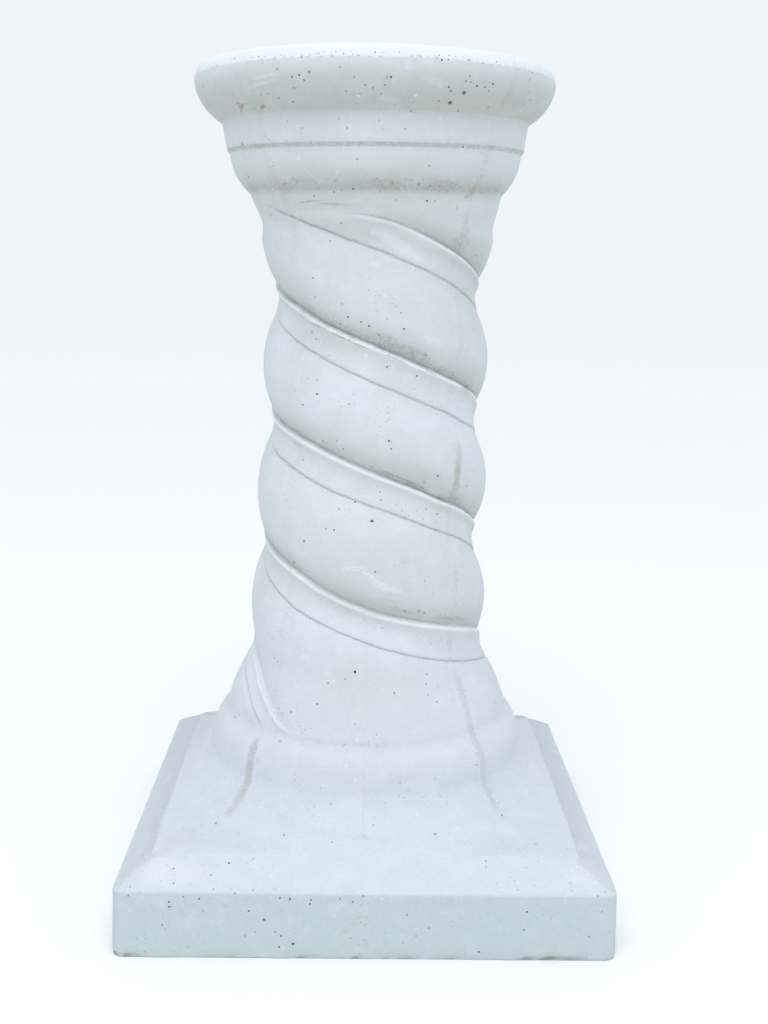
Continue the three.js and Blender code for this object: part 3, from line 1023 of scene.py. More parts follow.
def bottom_wear(places, facts):
    """Small breaks along the plinth's bottom edge, and fewer along its arris."""
    level = places * [1, 1, 0]
    fine = ripples(level, *FINE_BREAKS)
    low = near(facts[:, 2], *BOTTOM_EDGE) * (facts[:, 1] > FOOT_RADIUS)
    broken = worn(ripples(level, *BREAKS), *BIG_WEAR) + worn(fine, *SMALL_WEAR)
    at_corner = bell(seam_distance(facts), CORNER_REACH) * CORNER_WEAR
    arris = near(facts[:, 2], PLINTH_BAND, ARRIS_REACH) * worn(fine, *ARRIS_WEAR)
    return low * (broken + at_corner) + arris


# Rough sand along the two seams in front, by height, and how much of it there is behind
SAND_LEFT = [[60, 0], [82, 0.05], [88, 0.5], [94, 0.8], [138, 0.9], [146, 0.1], [160, 0.15], [235, 0.15],
             [262, 0.05], [290, 0.15], [420, 0.1], [470, 0.2], [520, 0.1], [575, 0.25], [598, 0.4],
             [620, 0.2], [640, 0.1], [662, 0.3], [684, 0.2], [694, 0]]
SAND_RIGHT = [[60, 0], [76, 0.1], [84, 0.15], [92, 0.4], [130, 0.45], [146, 0.6], [160, 0.45],
              [190, 0.45], [203, 0.05], [222, 0.4], [232, 0.1], [262, 0.25], [284, 0.25], [296, 0.05],
              [340, 0.35], [352, 0.8], [378, 0.8], [388, 0.1], [440, 0.1], [480, 0.2], [528, 0.1],
              [552, 0.35], [578, 0.35], [588, 0.2], [600, 0.6], [612, 0.3], [650, 0.1], [664, 0.45],
              [680, 0.35], [694, 0]]
SEAM_HALF_WIDTH = 3.0
# Patches of sand behind, stretched upwards: where they start in the noise and how fast they fill
SAND_STRETCH = [0.3, 0.3, 1]
SAND_FROM = 0.3
SAND_GAIN = 2
SAND_HEIGHTS = (PLINTH_BAND + 3, TORUS_EDGE[1] + 2)
# Painted shade on the bevel's left and right sides: how far they face aside, their least share and what the
# rise adds
SIDE_FACING = (0.2, 0.4)
SIDE_LEAST = 0.55
SIDE_ADDED = 0.45
# Where the platform's corners dip, by the way out and by the height
DIP_REACH = (205, 240)
DIP_HEIGHTS = (PLINTH_BAND + 4, PLATFORM_EDGE - 1)
# Heights where the painted light on the rim's upward-facing top begins
CROWN_HEIGHTS = (TORUS_EDGE[1] - 2, TORUS_EDGE[1] + 2)
# Where the painted highlight, with edge wear, lies on each ledge: its place below the crease and its reach
LEDGE_HIGHLIGHT_CREST = (3.2, 1.5)


def sand_amount(facts, places):
    """Share of rough sand along the mould seams, in patches."""
    angle, height = facts[:, 0], facts[:, 2]
    patches = (ripples(places * SAND_STRETCH, *SEAM_PATCHES) - SAND_FROM) * SAND_GAIN
    amount = np.where(np.abs(angle) > QUARTER, np.clip(patches, 0, 1), 0.0)
    amount = np.where((angle <= 0) & (angle > -QUARTER), smooth_line(SAND_LEFT, height), amount)
    amount = np.where((angle > 0) & (angle < QUARTER), smooth_line(SAND_RIGHT, height), amount)
    low, high = SAND_HEIGHTS
    return amount * ((height > low) & (height < high))


def side_shade_amount(facts, normals):
    """Painted shade on the bevel's left and right sides, most at their upper edge."""
    height = facts[:, 2]
    rising = np.clip((height - PLINTH_BAND) / BEVEL_RISE, 0, 1)
    above_band = (height > PLINTH_BAND) & (facts[:, 1] > FOOT_RADIUS)
    on_bevel = above_band & (height < PLATFORM_EDGE + TOUCHING)
    aside = ease_between(*SIDE_FACING, np.abs(normals[:, 0]))
    return aside * on_bevel * (SIDE_LEAST + SIDE_ADDED * rising)


def platform_dip(places):
    """The platform's corners lie a little low."""
    reach = np.hypot(places[:, 0], places[:, 1])
    return PLATFORM_DIP * ease_between(*DIP_REACH, reach) * ease_between(*DIP_HEIGHTS, places[:, 2])


def build_casting():
    faces, facts = casting_surface()
    ideal = places_of(facts)
    ideal[:, 2] -= platform_dip(ideal)
    bent = crooked(ideal)
    surface = Surface(bent, faces)
    ripple = ripples(ideal, *RIPPLE)
    patches = ripples(ideal, *PATCHES)
    grime = grime_amount(facts, ripple, patches)
    shade = shade_amount(facts, ripple)
    sand = sand_amount(facts, ideal)
    on_seam = sand * bell(np.abs(seam_distance(facts)), SEAM_HALF_WIDTH)
    places = roughen(bent, facts, faces, on_seam, grime, surface)
    places[:, 2] += ragged_edges(ideal, facts)
    low = np.array(CAD_LOW) / MM
    high = np.array(CAD_HIGH) / MM
    places = np.clip(places, low, high)
    normals = outward_normals(places, faces)
    carried = {
        # pit: dirt and painted shade in the pits
        "pit": np.zeros(len(facts)),
        "grime": grime,
        # shade: painted shade under the rolls and mouldings
        "shade": shade,
        "sand": sand,
        "seam": seam_distance(facts),
        # under: painted shade on surfaces that face downwards
        "under": np.clip(-normals[:, 2], 0, 1),
        # crown: painted light on the rim's upward-facing top
        "crown": ease_between(*CROWN_HEIGHTS, facts[:, 2]),
        # ledge: painted highlight, with edge wear, along each ledge
        "ledge": near(facts[:, 3], *LEDGE_HIGHLIGHT_CREST) * relief_at(facts[:, 2]),
        # stain: grey stains and painted shade
        "stain_and_shade": mark_amount(places, surface, GREY_STAINS_AND_SHADE),
        "spall": mark_amount(places, surface, SPALL_MARKS),
        # side: painted shade on the bevel's left and right sides
        "side": side_shade_amount(facts, normals),
    }
    surface = Surface(places, faces)
    casting = Casting(places, faces, carried)
    rng = random.Random(SEED)
    pits = [(surface.seen_at(x, y), width * PIT_PER_PIXEL) for x, y, width in PITS_SEEN]
    pits += scattered_pits(surface, rng)
    made = 0
    for hit, width in pits:
        sides = next(count for widest, count in PIT_SIDES if width < widest)
        depth = rng.uniform(*PIT_DEPTHS)
        made += casting.cut(hit, width, surface, sides, depth, rng.uniform(*PIT_TURNS))
    print("pits cut:", made, "of", len(pits))
    places, faces, carried, rims = casting.result()
    mesh = bpy.data.meshes.new("column_casting")
    mesh.from_pydata([place * MM for place in places], [], faces)
    mesh.shade_smooth()
    for name, values in carried.items():
        layer = mesh.attributes.new(name, "FLOAT", "POINT")
        layer.data.foreach_set("value", np.array(values, np.float32))
    sharpen(mesh, rims)
    mesh.validate()
    triangles = sum(len(face) - 2 for face in faces)
    print("triangles:", triangles)
    piece = bpy.data.objects.new("column_casting", mesh)
    bpy.context.scene.collection.objects.link(piece)
    return piece, surface


def sharpen(mesh, rims):
    """Keeps the rims of the pits sharp."""
    on_rim = set()
    for ring in rims:
        for a, b in zip(ring, ring[1:] + ring[:1]):
            on_rim.add((min(a, b), max(a, b)))
    ends = np.zeros(len(mesh.edges) * 2, np.int32)
    mesh.edges.foreach_get("vertices", ends)
    ends = np.sort(ends.reshape(-1, 2), axis=1)
    sharp = np.array([(a, b) in on_rim for a, b in ends.tolist()])
    layer = mesh.attributes.new("sharp_edge", "BOOLEAN", "EDGE")
    layer.data.foreach_set("value", sharp)


class Nodes:
    """Short calls for building a material's nodes."""

    def __init__(self, tree):
        self.tree = tree

    def new(self, kind, inputs, **settings):
        node = self.tree.nodes.new(kind)
        for name, value in settings.items():
            setattr(node, name, value)
        for name, value in inputs.items():
            self.feed(node.inputs[name], value)
        return node

    def feed(self, socket, value):
        if hasattr(value, "is_output"):
            self.tree.links.new(value, socket)
        else:
            socket.default_value = value

    def math(self, operation, a, b=0.0, clamp=False):
        return self.new("ShaderNodeMath", {0: a, 1: b}, operation=operation, use_clamp=clamp).outputs[0]

    def joined(self, operation, first, *others):
        for other in others:
            first = self.math(operation, first, other)
        return first

    def times(self, *values):
        return self.joined("MULTIPLY", *values)

    def plus(self, *values):
        return self.joined("ADD", *values)

    def most(self, *values):
        return self.joined("MAXIMUM", *values)

    def vector(self, operation, *values):
        return self.new("ShaderNodeVectorMath", dict(enumerate(values)), operation=operation)

    def length(self, value):
        return self.vector("LENGTH", value).outputs["Value"]

    def upward(self, value):
        return self.new("ShaderNodeSeparateXYZ", {0: value}).outputs["Z"]

    def coordinate(self, name):
        return self.new("ShaderNodeTexCoord", {}).outputs[name]

    def attribute(self, name):
        return self.new("ShaderNodeAttribute", {}, attribute_name=name).outputs["Fac"]

    def noise(self, place, scale, detail, roughness, output="Fac"):
        inputs = {"Vector": place, "Scale": scale, "Detail": detail, "Roughness": roughness}
        return self.new("ShaderNodeTexNoise", inputs).outputs[output]

    def ramp(self, value, low, high, to_low=0.0, to_high=1.0):
        inputs = {"Value": value, "From Min": low, "From Max": high, "To Min": to_low, "To Max": to_high}
        return self.new("ShaderNodeMapRange", inputs, clamp=True).outputs["Result"]

    def mix(self, share, a, b):
        return self.new("ShaderNodeMix", {"Factor": share, 6: a, 7: b}, data_type="RGBA").outputs[2]

    def coat(self, base, amount, strength, cover):
        """The base with a coat over it, as far as the amount and the coat's strength say."""
        return self.mix(self.times(amount, strength), base, cover)


def colour(red, green, blue):
    return (red, green, blue, 1.0)


# Colours of the concrete and of what lies on it, as light that they give back
CONCRETE = colour(0.615, 0.66, 0.69)
CONCRETE_PALE = colour(0.70, 0.745, 0.78)
CONCRETE_GREY = colour(0.53, 0.57, 0.585)
CONCRETE_LOW = colour(0.56, 0.63, 0.675)
# Colour of the painted shade on the plinth's upright band
PLINTH_BAND_SHADE = colour(0.48, 0.565, 0.578)
# Colour of the painted shade on the bevel's left and right sides
BEVEL_SIDE_SHADE = colour(0.465, 0.51, 0.565)
GRIME = colour(0.245, 0.24, 0.21)
SPALL = colour(0.41, 0.40, 0.365)
SAND = colour(0.52, 0.52, 0.47)
CRACK = colour(0.30, 0.30, 0.27)
# Colour of the painted shade under rolls and mouldings, and of the grey stains
SHADE_AND_STAIN_GREY = colour(0.46, 0.49, 0.455)
RUST = colour(0.36, 0.11, 0.12)
EARTH = colour(0.49, 0.475, 0.42)
# Colour of the pits and pinholes: dirt and painted shade
PIT_DIRT_AND_SHADE = colour(0.07, 0.075, 0.075)
# Pale colour of the painted highlight along the ledges, and of the scrapes
HIGHLIGHT_AND_SCRAPE_PALE = colour(0.72, 0.77, 0.79)
ROUGHNESS = (0.3, 0.7, 0.72, 0.9)
SPECULAR = 0.35

# Noise in the concrete: scale, detail and roughness
NOISES = {
    "cloud": (11, 5, 0.6), "mottle": (55, 5, 0.65), "speckle": (420, 3, 0.6), "grain": (800, 3, 0.7),
    "ragged": (260, 4, 0.7), "fray": (330, 3, 0.7), "broken": (480, 4, 0.75), "patchy_amount": (330, 4, 0.75),
    "seam sway": (60, 3, 0.6), "seam fray": (300, 3, 0.7), "seam breaks": (110, 4, 0.75),
}
# Where a value starts and ends to count, and what it gives there
RAMPS = {
    "grey clouds": (0.38, 0.72, 0, 0.8), "low down": (0.26, 0.1, 0, 0.85),
    "plinth band": (0.0555, 0.053, 0, 0.85), "pale mottle": (0.5, 0.78, 0, 0.35),
    "grey mottle": (0.47, 0.25, 0, 0.35), "grey speckle": (0.56, 0.72, 0, 0.4),
    "pale speckle": (0.44, 0.28, 0, 0.35), "uneven": (0.3, 0.6, 0.55, 1.0),
    "crown": (0.25, 0.6, 0, 0.9), "under": (0.12, 0.75, 0, 0.8), "ragged": (0.25, 0.75, -1.0, 1.0),
    "earth": (0.35, 0.6, 0.4, 1.0), "mark": (1.25, 0.6), "seam sway": (0.3, 0.7, -1.2, 1.2),
    "seam fray": (0.3, 0.7, -1.4, 1.4), "sandy grain": (0.36, 0.6, 0.25, 1.0),
    "seam breaks": (0.5, 0.62, 0.0, 1.0), "crack": (0.7, 0.2), "cracked sand": (0.0, 0.5, 0.1, 0.8),
    "dots": (0.6, 0.68), "broken": (0.46, 0.58, 0.0, 1.0), "spalled": (0.2, 0.75),
    "crumbs": (0.45, 0.36), "patchy_amount": (0.36, 0.6, 0.1, 1.2), "streaks": (0.35, 0.6, 0.45, 1.0),
}
# Coats over the concrete: strength and colour
COATS = {
    # The side coat is painted shade, the ledge coat a painted highlight with edge wear, the stain coat grey
    # stains and painted shade
    "side": (0.85, BEVEL_SIDE_SHADE), "ledge": (0.95, HIGHLIGHT_AND_SCRAPE_PALE), "stain_and_shade": (0.65, SHADE_AND_STAIN_GREY),
    "pale": (0.8, CONCRETE_PALE), "scraped": (0.9, HIGHLIGHT_AND_SCRAPE_PALE), "flecks": (0.6, CONCRETE_PALE),
    "sandy": (0.5, SAND), "seam crack": (0.4, CRACK), "spall": (0.6, SPALL),
    "crumbs": (0.7, CONCRETE_PALE), "grime": (0.8, GRIME), "crack": (0.75, GRIME), "rust": (0.8, RUST),
}
# Spots strewn in zones: scale, size as a ramp, the zones' noise, and the ramp that picks them
FLECKS = (130, (0.2, 0.1), (46, 2, 0.5), (0.56, 0.64))
PINHOLES = (230, (0.14, 0.08), (34, 2, 0.5), (0.54, 0.62))
PINHOLE_SHARE = 0.55
# How far fine noise shifts the marks' edges, in millimetres
LOOSE_FRAY = 5
CLOSE_FRAY = 2.5
SPALL_FRAY = 0.15
# The sandy seam's edge: its start and end beside its half width, and what sand adds to it
SAND_OUTER = 0.8
SAND_INNER = 1.2
SAND_SPREAD = 1.2
# Bump: strength, its distance in metres, and the share of each kind of roughness
BUMP_STRENGTH = 0.6
BUMP_DISTANCE = 0.0007
SPECKLE_BUMP = 0.5
MOTTLE_BUMP = 0.8
GRIME_BUMP = 0.8
LOOSE_BUMP = 2.2
SCRAPE_BUMP = 1.6

# Stains seen in the picture: x, y, half length and half height in pixels, tilt, strength
RUST_MARKS = [
    (238, 103.5, 2.8, 0.7, 24, 0.8), (241.5, 106, 3.6, 0.8, 8, 0.9), (242, 109.3, 2.6, 0.6, -14, 0.7),
    (246, 104, 2.4, 0.6, 20, 0.45), (252, 108.5, 5, 0.5, 4, 0.3), (262.5, 106.8, 3.0, 0.9, 12, 0.9),
    (284, 184, 2.2, 0.9, 6, 0.9), (272, 214.5, 3.2, 0.9, 14, 0.4), (294, 562.5, 2.4, 1.3, 40, 0.8),
    (299, 568.5, 1.8, 0.6, 40, 0.5), (278.5, 708.5, 1.2, 1.8, -14, 0.6), (281.5, 713, 1.1, 1.7, 10, 0.7),
    (262, 598, 3, 0.8, 30, 0.25), (466, 197, 1.0, 2.2, 40, 0.6), (457, 208, 0.8, 2, 0, 0.5),
]
EARTH_MARKS = [
    (358, 915, 3.2, 5, -20, 0.5), (353, 923, 3.5, 4, 30, 0.35), (344, 932, 7, 3, -25, 0.5),
    (366, 943, 2.4, 5, 0, 0.5), (180, 838, 24, 6, -20, 0.22), (512, 845, 28, 4, 5, 0.2),
    (459, 452, 3.5, 11, -2, 0.6), (457, 470, 3, 11, -6, 0.5), (455, 484, 2, 6, 8, 0.45),
    (470, 191, 3.5, 7, 42, 0.7), (466, 198, 3, 3, 0, 0.6), (450, 205, 3, 5, 20, 0.2),
    (229, 812, 5, 4, -30, 0.5), (216, 823, 4, 2, -20, 0.35),
]
# Thin dark cracks
CRACKS = [
    (309, 201.3, 14, 0.8, 3, 0.5), (333, 204, 14, 0.9, 8, 0.5), (318, 326, 10, 0.6, 26, 0.8),
    (339, 336, 12, 0.6, 25, 0.9), (361, 346, 10, 0.6, 22, 0.7), (396, 359, 14, 0.7, 22, 0.7),
    (428, 371, 12, 0.7, 24, 0.7), (398, 477, 22, 0.7, 22, 0.8), (421, 487, 8, 0.7, 30, 0.8),
]
SCRAPES = [
    (352, 569, 12, 2.5, -4, 0.7), (368, 575, 8, 2.2, 25, 0.9), (380, 585, 13, 4, 28, 1.0),
    (392, 590, 9, 3.0, 10, 0.8),
]
# Pale smears, and a painted highlight on the top band where it faces down
PALE_SMEARS_AND_HIGHLIGHT = [
    (265, 76, 16, 1.5, 3, 0.35), (262, 83, 15, 1.5, -2, 0.4), (402, 247, 30, 6, 27, 0.7),
    (170, 872, 34, 13, 0, 0.4), (590, 872, 24, 12, 0, 0.25),
    (434, 81, 13, 3, 8, 0.25), (390, 99, 10, 1.5, 2, 0.25), (409, 64, 5, 5, 0, 0.35),
    (374, 264, 6, 3, 0, 0.5), (434, 342, 8, 5, 15, 0.5), (305, 657, 4, 3, 0, 0.5),
    (404, 642, 5, 9, -15, 0.4), (345, 215, 32, 6, 12, 0.25),
]
# Grey stains, and painted shade under a roll and over the top band's ridge
GREY_STAINS_AND_SHADE = [
    (330, 775, 40, 8, 6, 0.4), (402, 779, 22, 6, -8, 0.5), (370, 791, 20, 3.5, 0, 0.35),
    (300, 768, 6, 14, 0, 0.3), (350, 776, 5, 12, 0, 0.35), (385, 700, 36, 10, 0, 0.35),
    (345, 540, 30, 14, 20, 0.3), (395, 300, 30, 12, 20, 0.25), (280, 815, 30, 4, 20, 0.25),
    (350, 836, 40, 3, 3, 0.3), (330, 343, 46, 8, 26, 0.6), (410, 352, 34, 7, 26, 0.7),
    (420, 470, 36, 9, 26, 0.5), (503, 106, 5, 8, 30, 0.9), (508, 95, 3, 8, 10, 0.5),
    (365, 605, 46, 11, 16, 0.9), (178, 740, 12, 30, 20, 0.5), (200, 728, 14, 16, 0, 0.6),
    (370, 692, 70, 30, 0, 0.4), (355, 560, 60, 28, 12, 0.35), (330, 205, 30, 4, 6, 0.7),
    (395, 215, 26, 5, 24, 0.5),
]
# Rough broken patches above the ledges
SPALL_MARKS = [
    (291, 301, 14, 6, 34, 0.5), (308, 311, 18, 9, 30, 0.6), (330, 322, 20, 9, 26, 0.6),
    (352, 334, 20, 8, 24, 0.6), (385, 344, 26, 9, 22, 0.8), (415, 355, 22, 8, 24, 0.8),
    (447, 373, 14, 5, 26, 0.7), (466, 388, 9, 5, 40, 0.8), (299, 445, 12, 2.5, 32, 0.5),
    (385, 474, 16, 3, 20, 0.6), (410, 484, 16, 3.5, 22, 0.8), (440, 498, 10, 4, 24, 0.7),
    (455, 500, 8, 5, 20, 0.8), (410, 612, 24, 3, 12, 0.6), (452, 619, 22, 4, 6, 0.8),
    (300, 567, 12, 2.5, 34, 0.4), (466, 235, 5, 12, 20, 0.5), (458, 245, 8, 6, 30, 0.6),
    (375, 181, 60, 3, 1, 0.5), (300, 181, 24, 3, 3, 0.5), (450, 184, 26, 4, 3, 0.6),
    (366, 745, 36, 2.5, 0, 0.4),
]
# How far in pixels a mark reaches under the surface
MARK_DEPTH = 40
# Pocked stretches of the two seams, and of the bevel's corners under them
SEAM_POCKS = [
    (136, 869, 3, 26, 44, 1.6), (600, 872, 3, 26, -41, 1.6), (152, 852, 6, 3, 0, 1.0),
    (255, 760, 4, 12, 10, 1.2), (247, 782, 4, 12, 22, 1.2), (237, 803, 4, 6, 35, 0.7),
    (229, 812, 4, 3, 0, 0.8), (290, 350, 4, 20, 0, 0.6), (288, 500, 4, 20, 0, 0.5),
    (284, 625, 5, 20, 0, 0.7), (279, 690, 5, 14, 0, 0.4), (284, 240, 4, 20, 0, 0.4),
    (270, 150, 3, 20, -12, 0.5), (456, 455, 4, 24, -2, 0.9), (455, 590, 3, 20, 0, 0.7),
    (449, 645, 3, 10, 0, 0.6), (462, 690, 3, 26, -16, 0.8), (477, 750, 4, 20, -14, 0.7),
    (493, 795, 4, 10, -30, 0.7), (459, 225, 4, 20, 8, 0.9), (484, 165, 3, 12, 14, 0.7),
    (472, 190, 8, 3, -40, 1.0), (447, 395, 3, 12, 0, 0.5),
]


def frayed(nodes, place, reach):
    """The place shifted by fine noise, so that what is drawn by it has ragged edges."""
    grain = nodes.noise(place, *NOISES["fray"], output="Color")
    shift = nodes.vector("SUBTRACT", grain, (0.5, 0.5, 0.5)).outputs["Vector"]
    reaches = (reach * MM, reach * MM, reach * MM)
    return nodes.vector("MULTIPLY_ADD", shift, reaches, place).outputs["Vector"]


def marks(nodes, place, listing, surface):
    """Greatest strength of the listed oval marks at a place."""
    right, up, _ = surface.axes
    total = 0.0
    for x, y, half_long, half_high, tilt, strength in listing:
        hit = surface.seen_at(x, y)
        if hit[0] is None:
            continue
        turn = math.radians(tilt)
        long = (right * math.cos(turn) - up * math.sin(turn)).normalized()
        high = (right * math.sin(turn) + up * math.cos(turn)).normalized()
        inputs = {
            "Vector": place,
            "Location": hit[0] * MM,
            "Rotation": Matrix((long, high, long.cross(high))).transposed().to_euler(),
            "Scale": Vector((half_long, half_high, MARK_DEPTH)) * PIXEL_ON_SHAFT * MM,
        }
        own = nodes.new("ShaderNodeMapping", inputs, vector_type="TEXTURE").outputs["Vector"]
        total = nodes.most(total, nodes.ramp(nodes.length(own), *RAMPS["mark"], 0.0, strength))
    return total


def clouded(nodes, place, mottle, speckle):
    """Colour of the bare concrete, by its height, clouds, mottling and speckles, with painted shade on the
    plinth's upright band and on the bevel's sides.
    """
    height = nodes.upward(place)
    base = nodes.mix(nodes.ramp(nodes.noise(place, *NOISES["cloud"]), *RAMPS["grey clouds"]),
                     CONCRETE, CONCRETE_GREY)
    base = nodes.mix(nodes.ramp(height, *RAMPS["low down"]), base, CONCRETE_LOW)
    # Painted shade: the plinth's upright band darker and greener
    base = nodes.mix(nodes.ramp(height, *RAMPS["plinth band"]), base, PLINTH_BAND_SHADE)
    # Painted shade on the bevel's left and right sides
    base = nodes.coat(base, nodes.attribute("side"), *COATS["side"])
    base = nodes.mix(nodes.ramp(mottle, *RAMPS["pale mottle"]), base, CONCRETE_PALE)
    base = nodes.mix(nodes.ramp(mottle, *RAMPS["grey mottle"]), base, CONCRETE_GREY)
    base = nodes.mix(nodes.ramp(speckle, *RAMPS["grey speckle"]), base, CONCRETE_GREY)
    return nodes.mix(nodes.ramp(speckle, *RAMPS["pale speckle"]), base, CONCRETE_PALE)


def weathered(nodes, place, surface, mottle, speckle):
    """The concrete with painted highlights on its ledges and rim, painted shade on its undersides and under
    rolls and mouldings, stains and painted shadows, and pale scrapes and painted highlights.
    """
    base = clouded(nodes, place, mottle, speckle)
    uneven = nodes.ramp(mottle, *RAMPS["uneven"])
    # Painted light on the rim's upward-facing top
    crown = nodes.times(nodes.attribute("crown"), uneven)
    base = nodes.mix(nodes.ramp(crown, *RAMPS["crown"]), base, CONCRETE_PALE)
    # Painted highlight, with edge wear, along the crest of each ledge
    base = nodes.coat(base, nodes.attribute("ledge"), *COATS["ledge"])
    # Painted shade on surfaces that face downwards
    under = nodes.times(nodes.attribute("under"), uneven)
    base = nodes.mix(nodes.ramp(under, *RAMPS["under"]), base, SHADE_AND_STAIN_GREY)
    # Painted shade under the rolls and mouldings
    base = nodes.mix(nodes.times(nodes.attribute("shade"), uneven), base, SHADE_AND_STAIN_GREY)
    # Grey stains and painted shade
    base = nodes.coat(base, nodes.times(nodes.attribute("stain_and_shade"), uneven), *COATS["stain_and_shade"])

    loose = frayed(nodes, place, LOOSE_FRAY)
    # Pale smears, and a painted highlight on the top band
    base = nodes.coat(base, marks(nodes, loose, PALE_SMEARS_AND_HIGHLIGHT, surface), *COATS["pale"])
    scraped = marks(nodes, loose, SCRAPES, surface)
    base = nodes.coat(base, scraped, *COATS["scraped"])
    earth = nodes.times(marks(nodes, loose, EARTH_MARKS, surface), nodes.ramp(speckle, *RAMPS["earth"]))
    return nodes.mix(earth, base, EARTH), scraped


def spots(nodes, place, scale, size, zones, picked):
    """Small round spots, strewn in zones."""
    cells = nodes.new("ShaderNodeTexVoronoi", {"Vector": place, "Scale": scale})
    zone = nodes.ramp(nodes.noise(place, *zones), *picked)
    return nodes.times(nodes.ramp(cells.outputs["Distance"], *size), zone)


def seamed(nodes, place, base, grain):
    """Mould seams: faint patchy sand, with a thin broken crack and specks in it."""
    sway = nodes.ramp(nodes.noise(place, *NOISES["seam sway"]), *RAMPS["seam sway"])
    fray = nodes.ramp(nodes.noise(place, *NOISES["seam fray"]), *RAMPS["seam fray"])
    distance = nodes.math("ABSOLUTE", nodes.plus(nodes.attribute("seam"), sway))
    patch = nodes.attribute("sand")
    edge = nodes.math("SUBTRACT", nodes.plus(distance, fray), nodes.times(patch, SAND_SPREAD))
    wide = nodes.ramp(edge, SEAM_HALF_WIDTH + SAND_OUTER, SEAM_HALF_WIDTH - SAND_INNER)
    sandy = nodes.times(wide, patch, nodes.ramp(grain, *RAMPS["sandy grain"]))
    base = nodes.coat(base, sandy, *COATS["sandy"])
    breaks = nodes.ramp(nodes.noise(place, *NOISES["seam breaks"]), *RAMPS["seam breaks"])
    crack = nodes.times(nodes.ramp(distance, *RAMPS["crack"]), breaks,
                        nodes.ramp(patch, *RAMPS["cracked sand"]))
    specks = nodes.times(wide, patch, nodes.ramp(grain, *RAMPS["dots"]))
    return nodes.coat(base, nodes.most(crack, specks), *COATS["seam crack"]), sandy


def spalled(nodes, place, base, grain, ragged):
    """Broken patches over the ledges, dark and full of pale crumbs."""
    patched = nodes.plus(nodes.attribute("spall"), nodes.times(ragged, SPALL_FRAY))
    patch = nodes.ramp(patched, *RAMPS["spalled"])
    broken = nodes.ramp(nodes.noise(place, *NOISES["broken"]), *RAMPS["broken"])
    spall = nodes.times(patch, broken)
    base = nodes.coat(base, spall, *COATS["spall"])
    crumbs = nodes.times(patch, nodes.ramp(grain, *RAMPS["crumbs"]))
    return nodes.coat(base, crumbs, *COATS["crumbs"]), spall


def concrete_material(surface):
    material = bpy.data.materials.new("white concrete")
    material.use_nodes = True
    tree = material.node_tree
    nodes = Nodes(tree)
    shader = tree.nodes["Principled BSDF"]
    place = nodes.coordinate("Object")
    grain = nodes.noise(place, *NOISES["grain"])
    mottle = nodes.noise(place, *NOISES["mottle"])
    speckle = nodes.noise(place, *NOISES["speckle"])
    ragged = nodes.ramp(nodes.noise(place, *NOISES["ragged"]), *RAMPS["ragged"])

    base, scraped = weathered(nodes, place, surface, mottle, speckle)
    base = nodes.coat(base, spots(nodes, place, *FLECKS), *COATS["flecks"])
    base, sandy = seamed(nodes, place, base, grain)
    base, spall = spalled(nodes, place, base, grain, ragged)
    dirty = nodes.ramp(nodes.noise(place, *NOISES["patchy_amount"]), *RAMPS["patchy_amount"])
    grime = nodes.math("MULTIPLY", nodes.attribute("grime"), dirty, clamp=True)
    base = nodes.coat(base, grime, *COATS["grime"])
    close = frayed(nodes, place, CLOSE_FRAY)
    base = nodes.coat(base, marks(nodes, close, CRACKS, surface), *COATS["crack"])
    streaks = nodes.ramp(grain, *RAMPS["streaks"])
    rust = nodes.times(marks(nodes, close, RUST_MARKS, surface), streaks)
    base = nodes.coat(base, rust, *COATS["rust"])
    # Pinholes and pit floors painted near black: dirt and painted shade
    pinholes = nodes.times(spots(nodes, place, *PINHOLES), PINHOLE_SHARE)
    base = nodes.mix(nodes.most(pinholes, nodes.attribute("pit")), base, PIT_DIRT_AND_SHADE)
    nodes.feed(shader.inputs["Base Color"], base)

    nodes.feed(shader.inputs["Roughness"], nodes.ramp(mottle, *ROUGHNESS))
    shader.inputs["Specular IOR Level"].default_value = SPECULAR

    loose = nodes.most(sandy, spall, nodes.times(grime, GRIME_BUMP))
    height = nodes.plus(nodes.times(speckle, SPECKLE_BUMP), nodes.times(mottle, MOTTLE_BUMP),
                        nodes.times(grain, loose, LOOSE_BUMP), nodes.times(ragged, scraped, SCRAPE_BUMP))
    height = nodes.math("SUBTRACT", height, pinholes)
    inputs = {"Strength": BUMP_STRENGTH, "Distance": BUMP_DISTANCE, "Height": height}
    nodes.feed(shader.inputs["Normal"], nodes.new("ShaderNodeBump", inputs).outputs["Normal"])
    return material


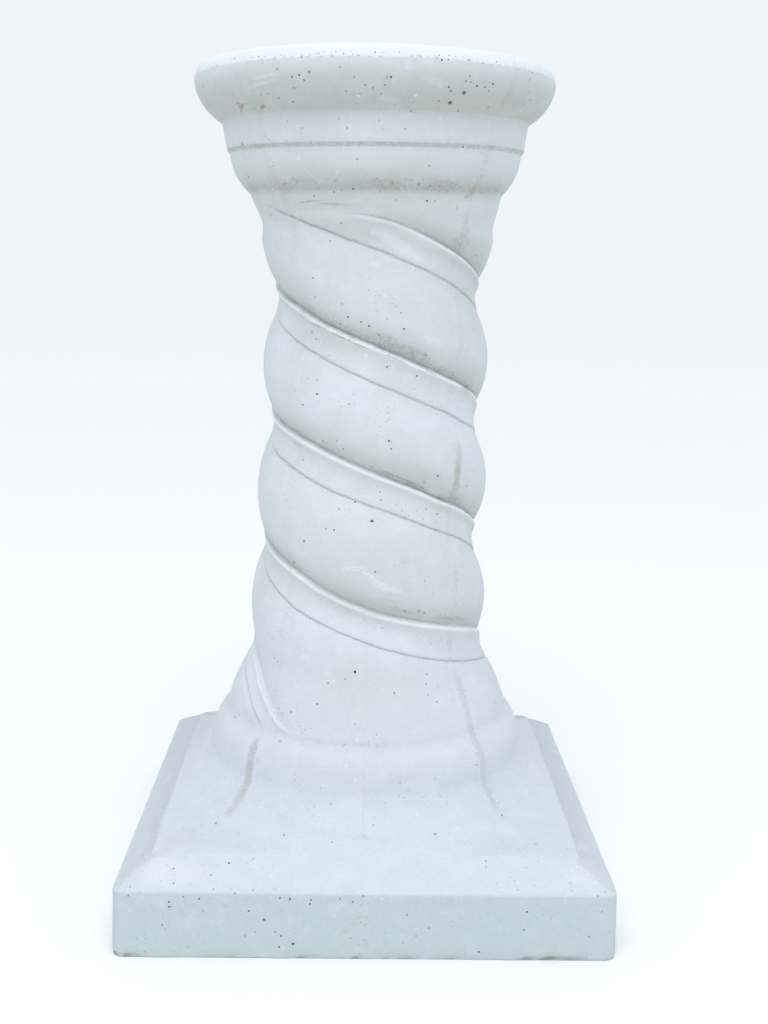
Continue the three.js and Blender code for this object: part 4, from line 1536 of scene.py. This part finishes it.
# Light and floor
FLOOR_REACH = 14
FLOOR_NEAR = colour(0.88, 0.885, 0.87)
FLOOR_FAR = colour(0.985, 0.975, 0.94)
SKY = colour(0.93, 0.975, 1.05)
HORIZON = colour(0.921, 0.954, 0.983)
SKY_STRENGTH = 0.95
LAMP_PLACE = (-0.1, -1.5, 3.1)
LAMP_SIZE = 2.4
LAMP_POWER = 43
LAMP_AIM = (0, 0, 0.35)
FLOOR_FADE = (0.6, 5.0)
FLOOR_ROUGHNESS = 0.9
HORIZON_FADE = (0.0, 0.7)


def make_floor():
    corners = [(-FLOOR_REACH, -FLOOR_REACH, 0), (FLOOR_REACH, -FLOOR_REACH, 0),
               (FLOOR_REACH, FLOOR_REACH, 0), (-FLOOR_REACH, FLOOR_REACH, 0)]
    mesh = bpy.data.meshes.new("floor")
    mesh.from_pydata(corners, [], [(0, 1, 2, 3)])
    floor = bpy.data.objects.new("floor", mesh)
    bpy.context.scene.collection.objects.link(floor)
    material = bpy.data.materials.new("pale floor")
    material.use_nodes = True
    nodes = Nodes(material.node_tree)
    shader = material.node_tree.nodes["Principled BSDF"]
    share = nodes.ramp(nodes.length(nodes.coordinate("Object")), *FLOOR_FADE)
    nodes.feed(shader.inputs["Base Color"], nodes.mix(share, FLOOR_NEAR, FLOOR_FAR))
    shader.inputs["Roughness"].default_value = FLOOR_ROUGHNESS
    mesh.materials.append(material)


def make_light():
    world = bpy.data.worlds.new("soft studio")
    bpy.context.scene.world = world
    world.use_nodes = True
    tree = world.node_tree
    nodes = Nodes(tree)
    share = nodes.ramp(nodes.upward(nodes.coordinate("Generated")), *HORIZON_FADE)
    background = tree.nodes["Background"]
    nodes.feed(background.inputs["Color"], nodes.mix(share, HORIZON, SKY))
    background.inputs["Strength"].default_value = SKY_STRENGTH
    data = bpy.data.lights.new("soft lamp", "AREA")
    data.shape = "DISK"
    data.size = LAMP_SIZE
    data.energy = LAMP_POWER
    lamp = bpy.data.objects.new("soft lamp", data)
    lamp.location = LAMP_PLACE
    aim = Vector(LAMP_AIM) - Vector(LAMP_PLACE)
    lamp.rotation_euler = aim.to_track_quat("-Z", "Y").to_euler()
    bpy.context.scene.collection.objects.link(lamp)
    view = bpy.context.scene.view_settings
    view.view_transform = "Standard"
    view.look = "None"


make_camera()
piece, surface = build_casting()
piece.data.materials.append(concrete_material(surface))
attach(piece, "root")
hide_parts("twisted_column")
make_floor()
make_light()
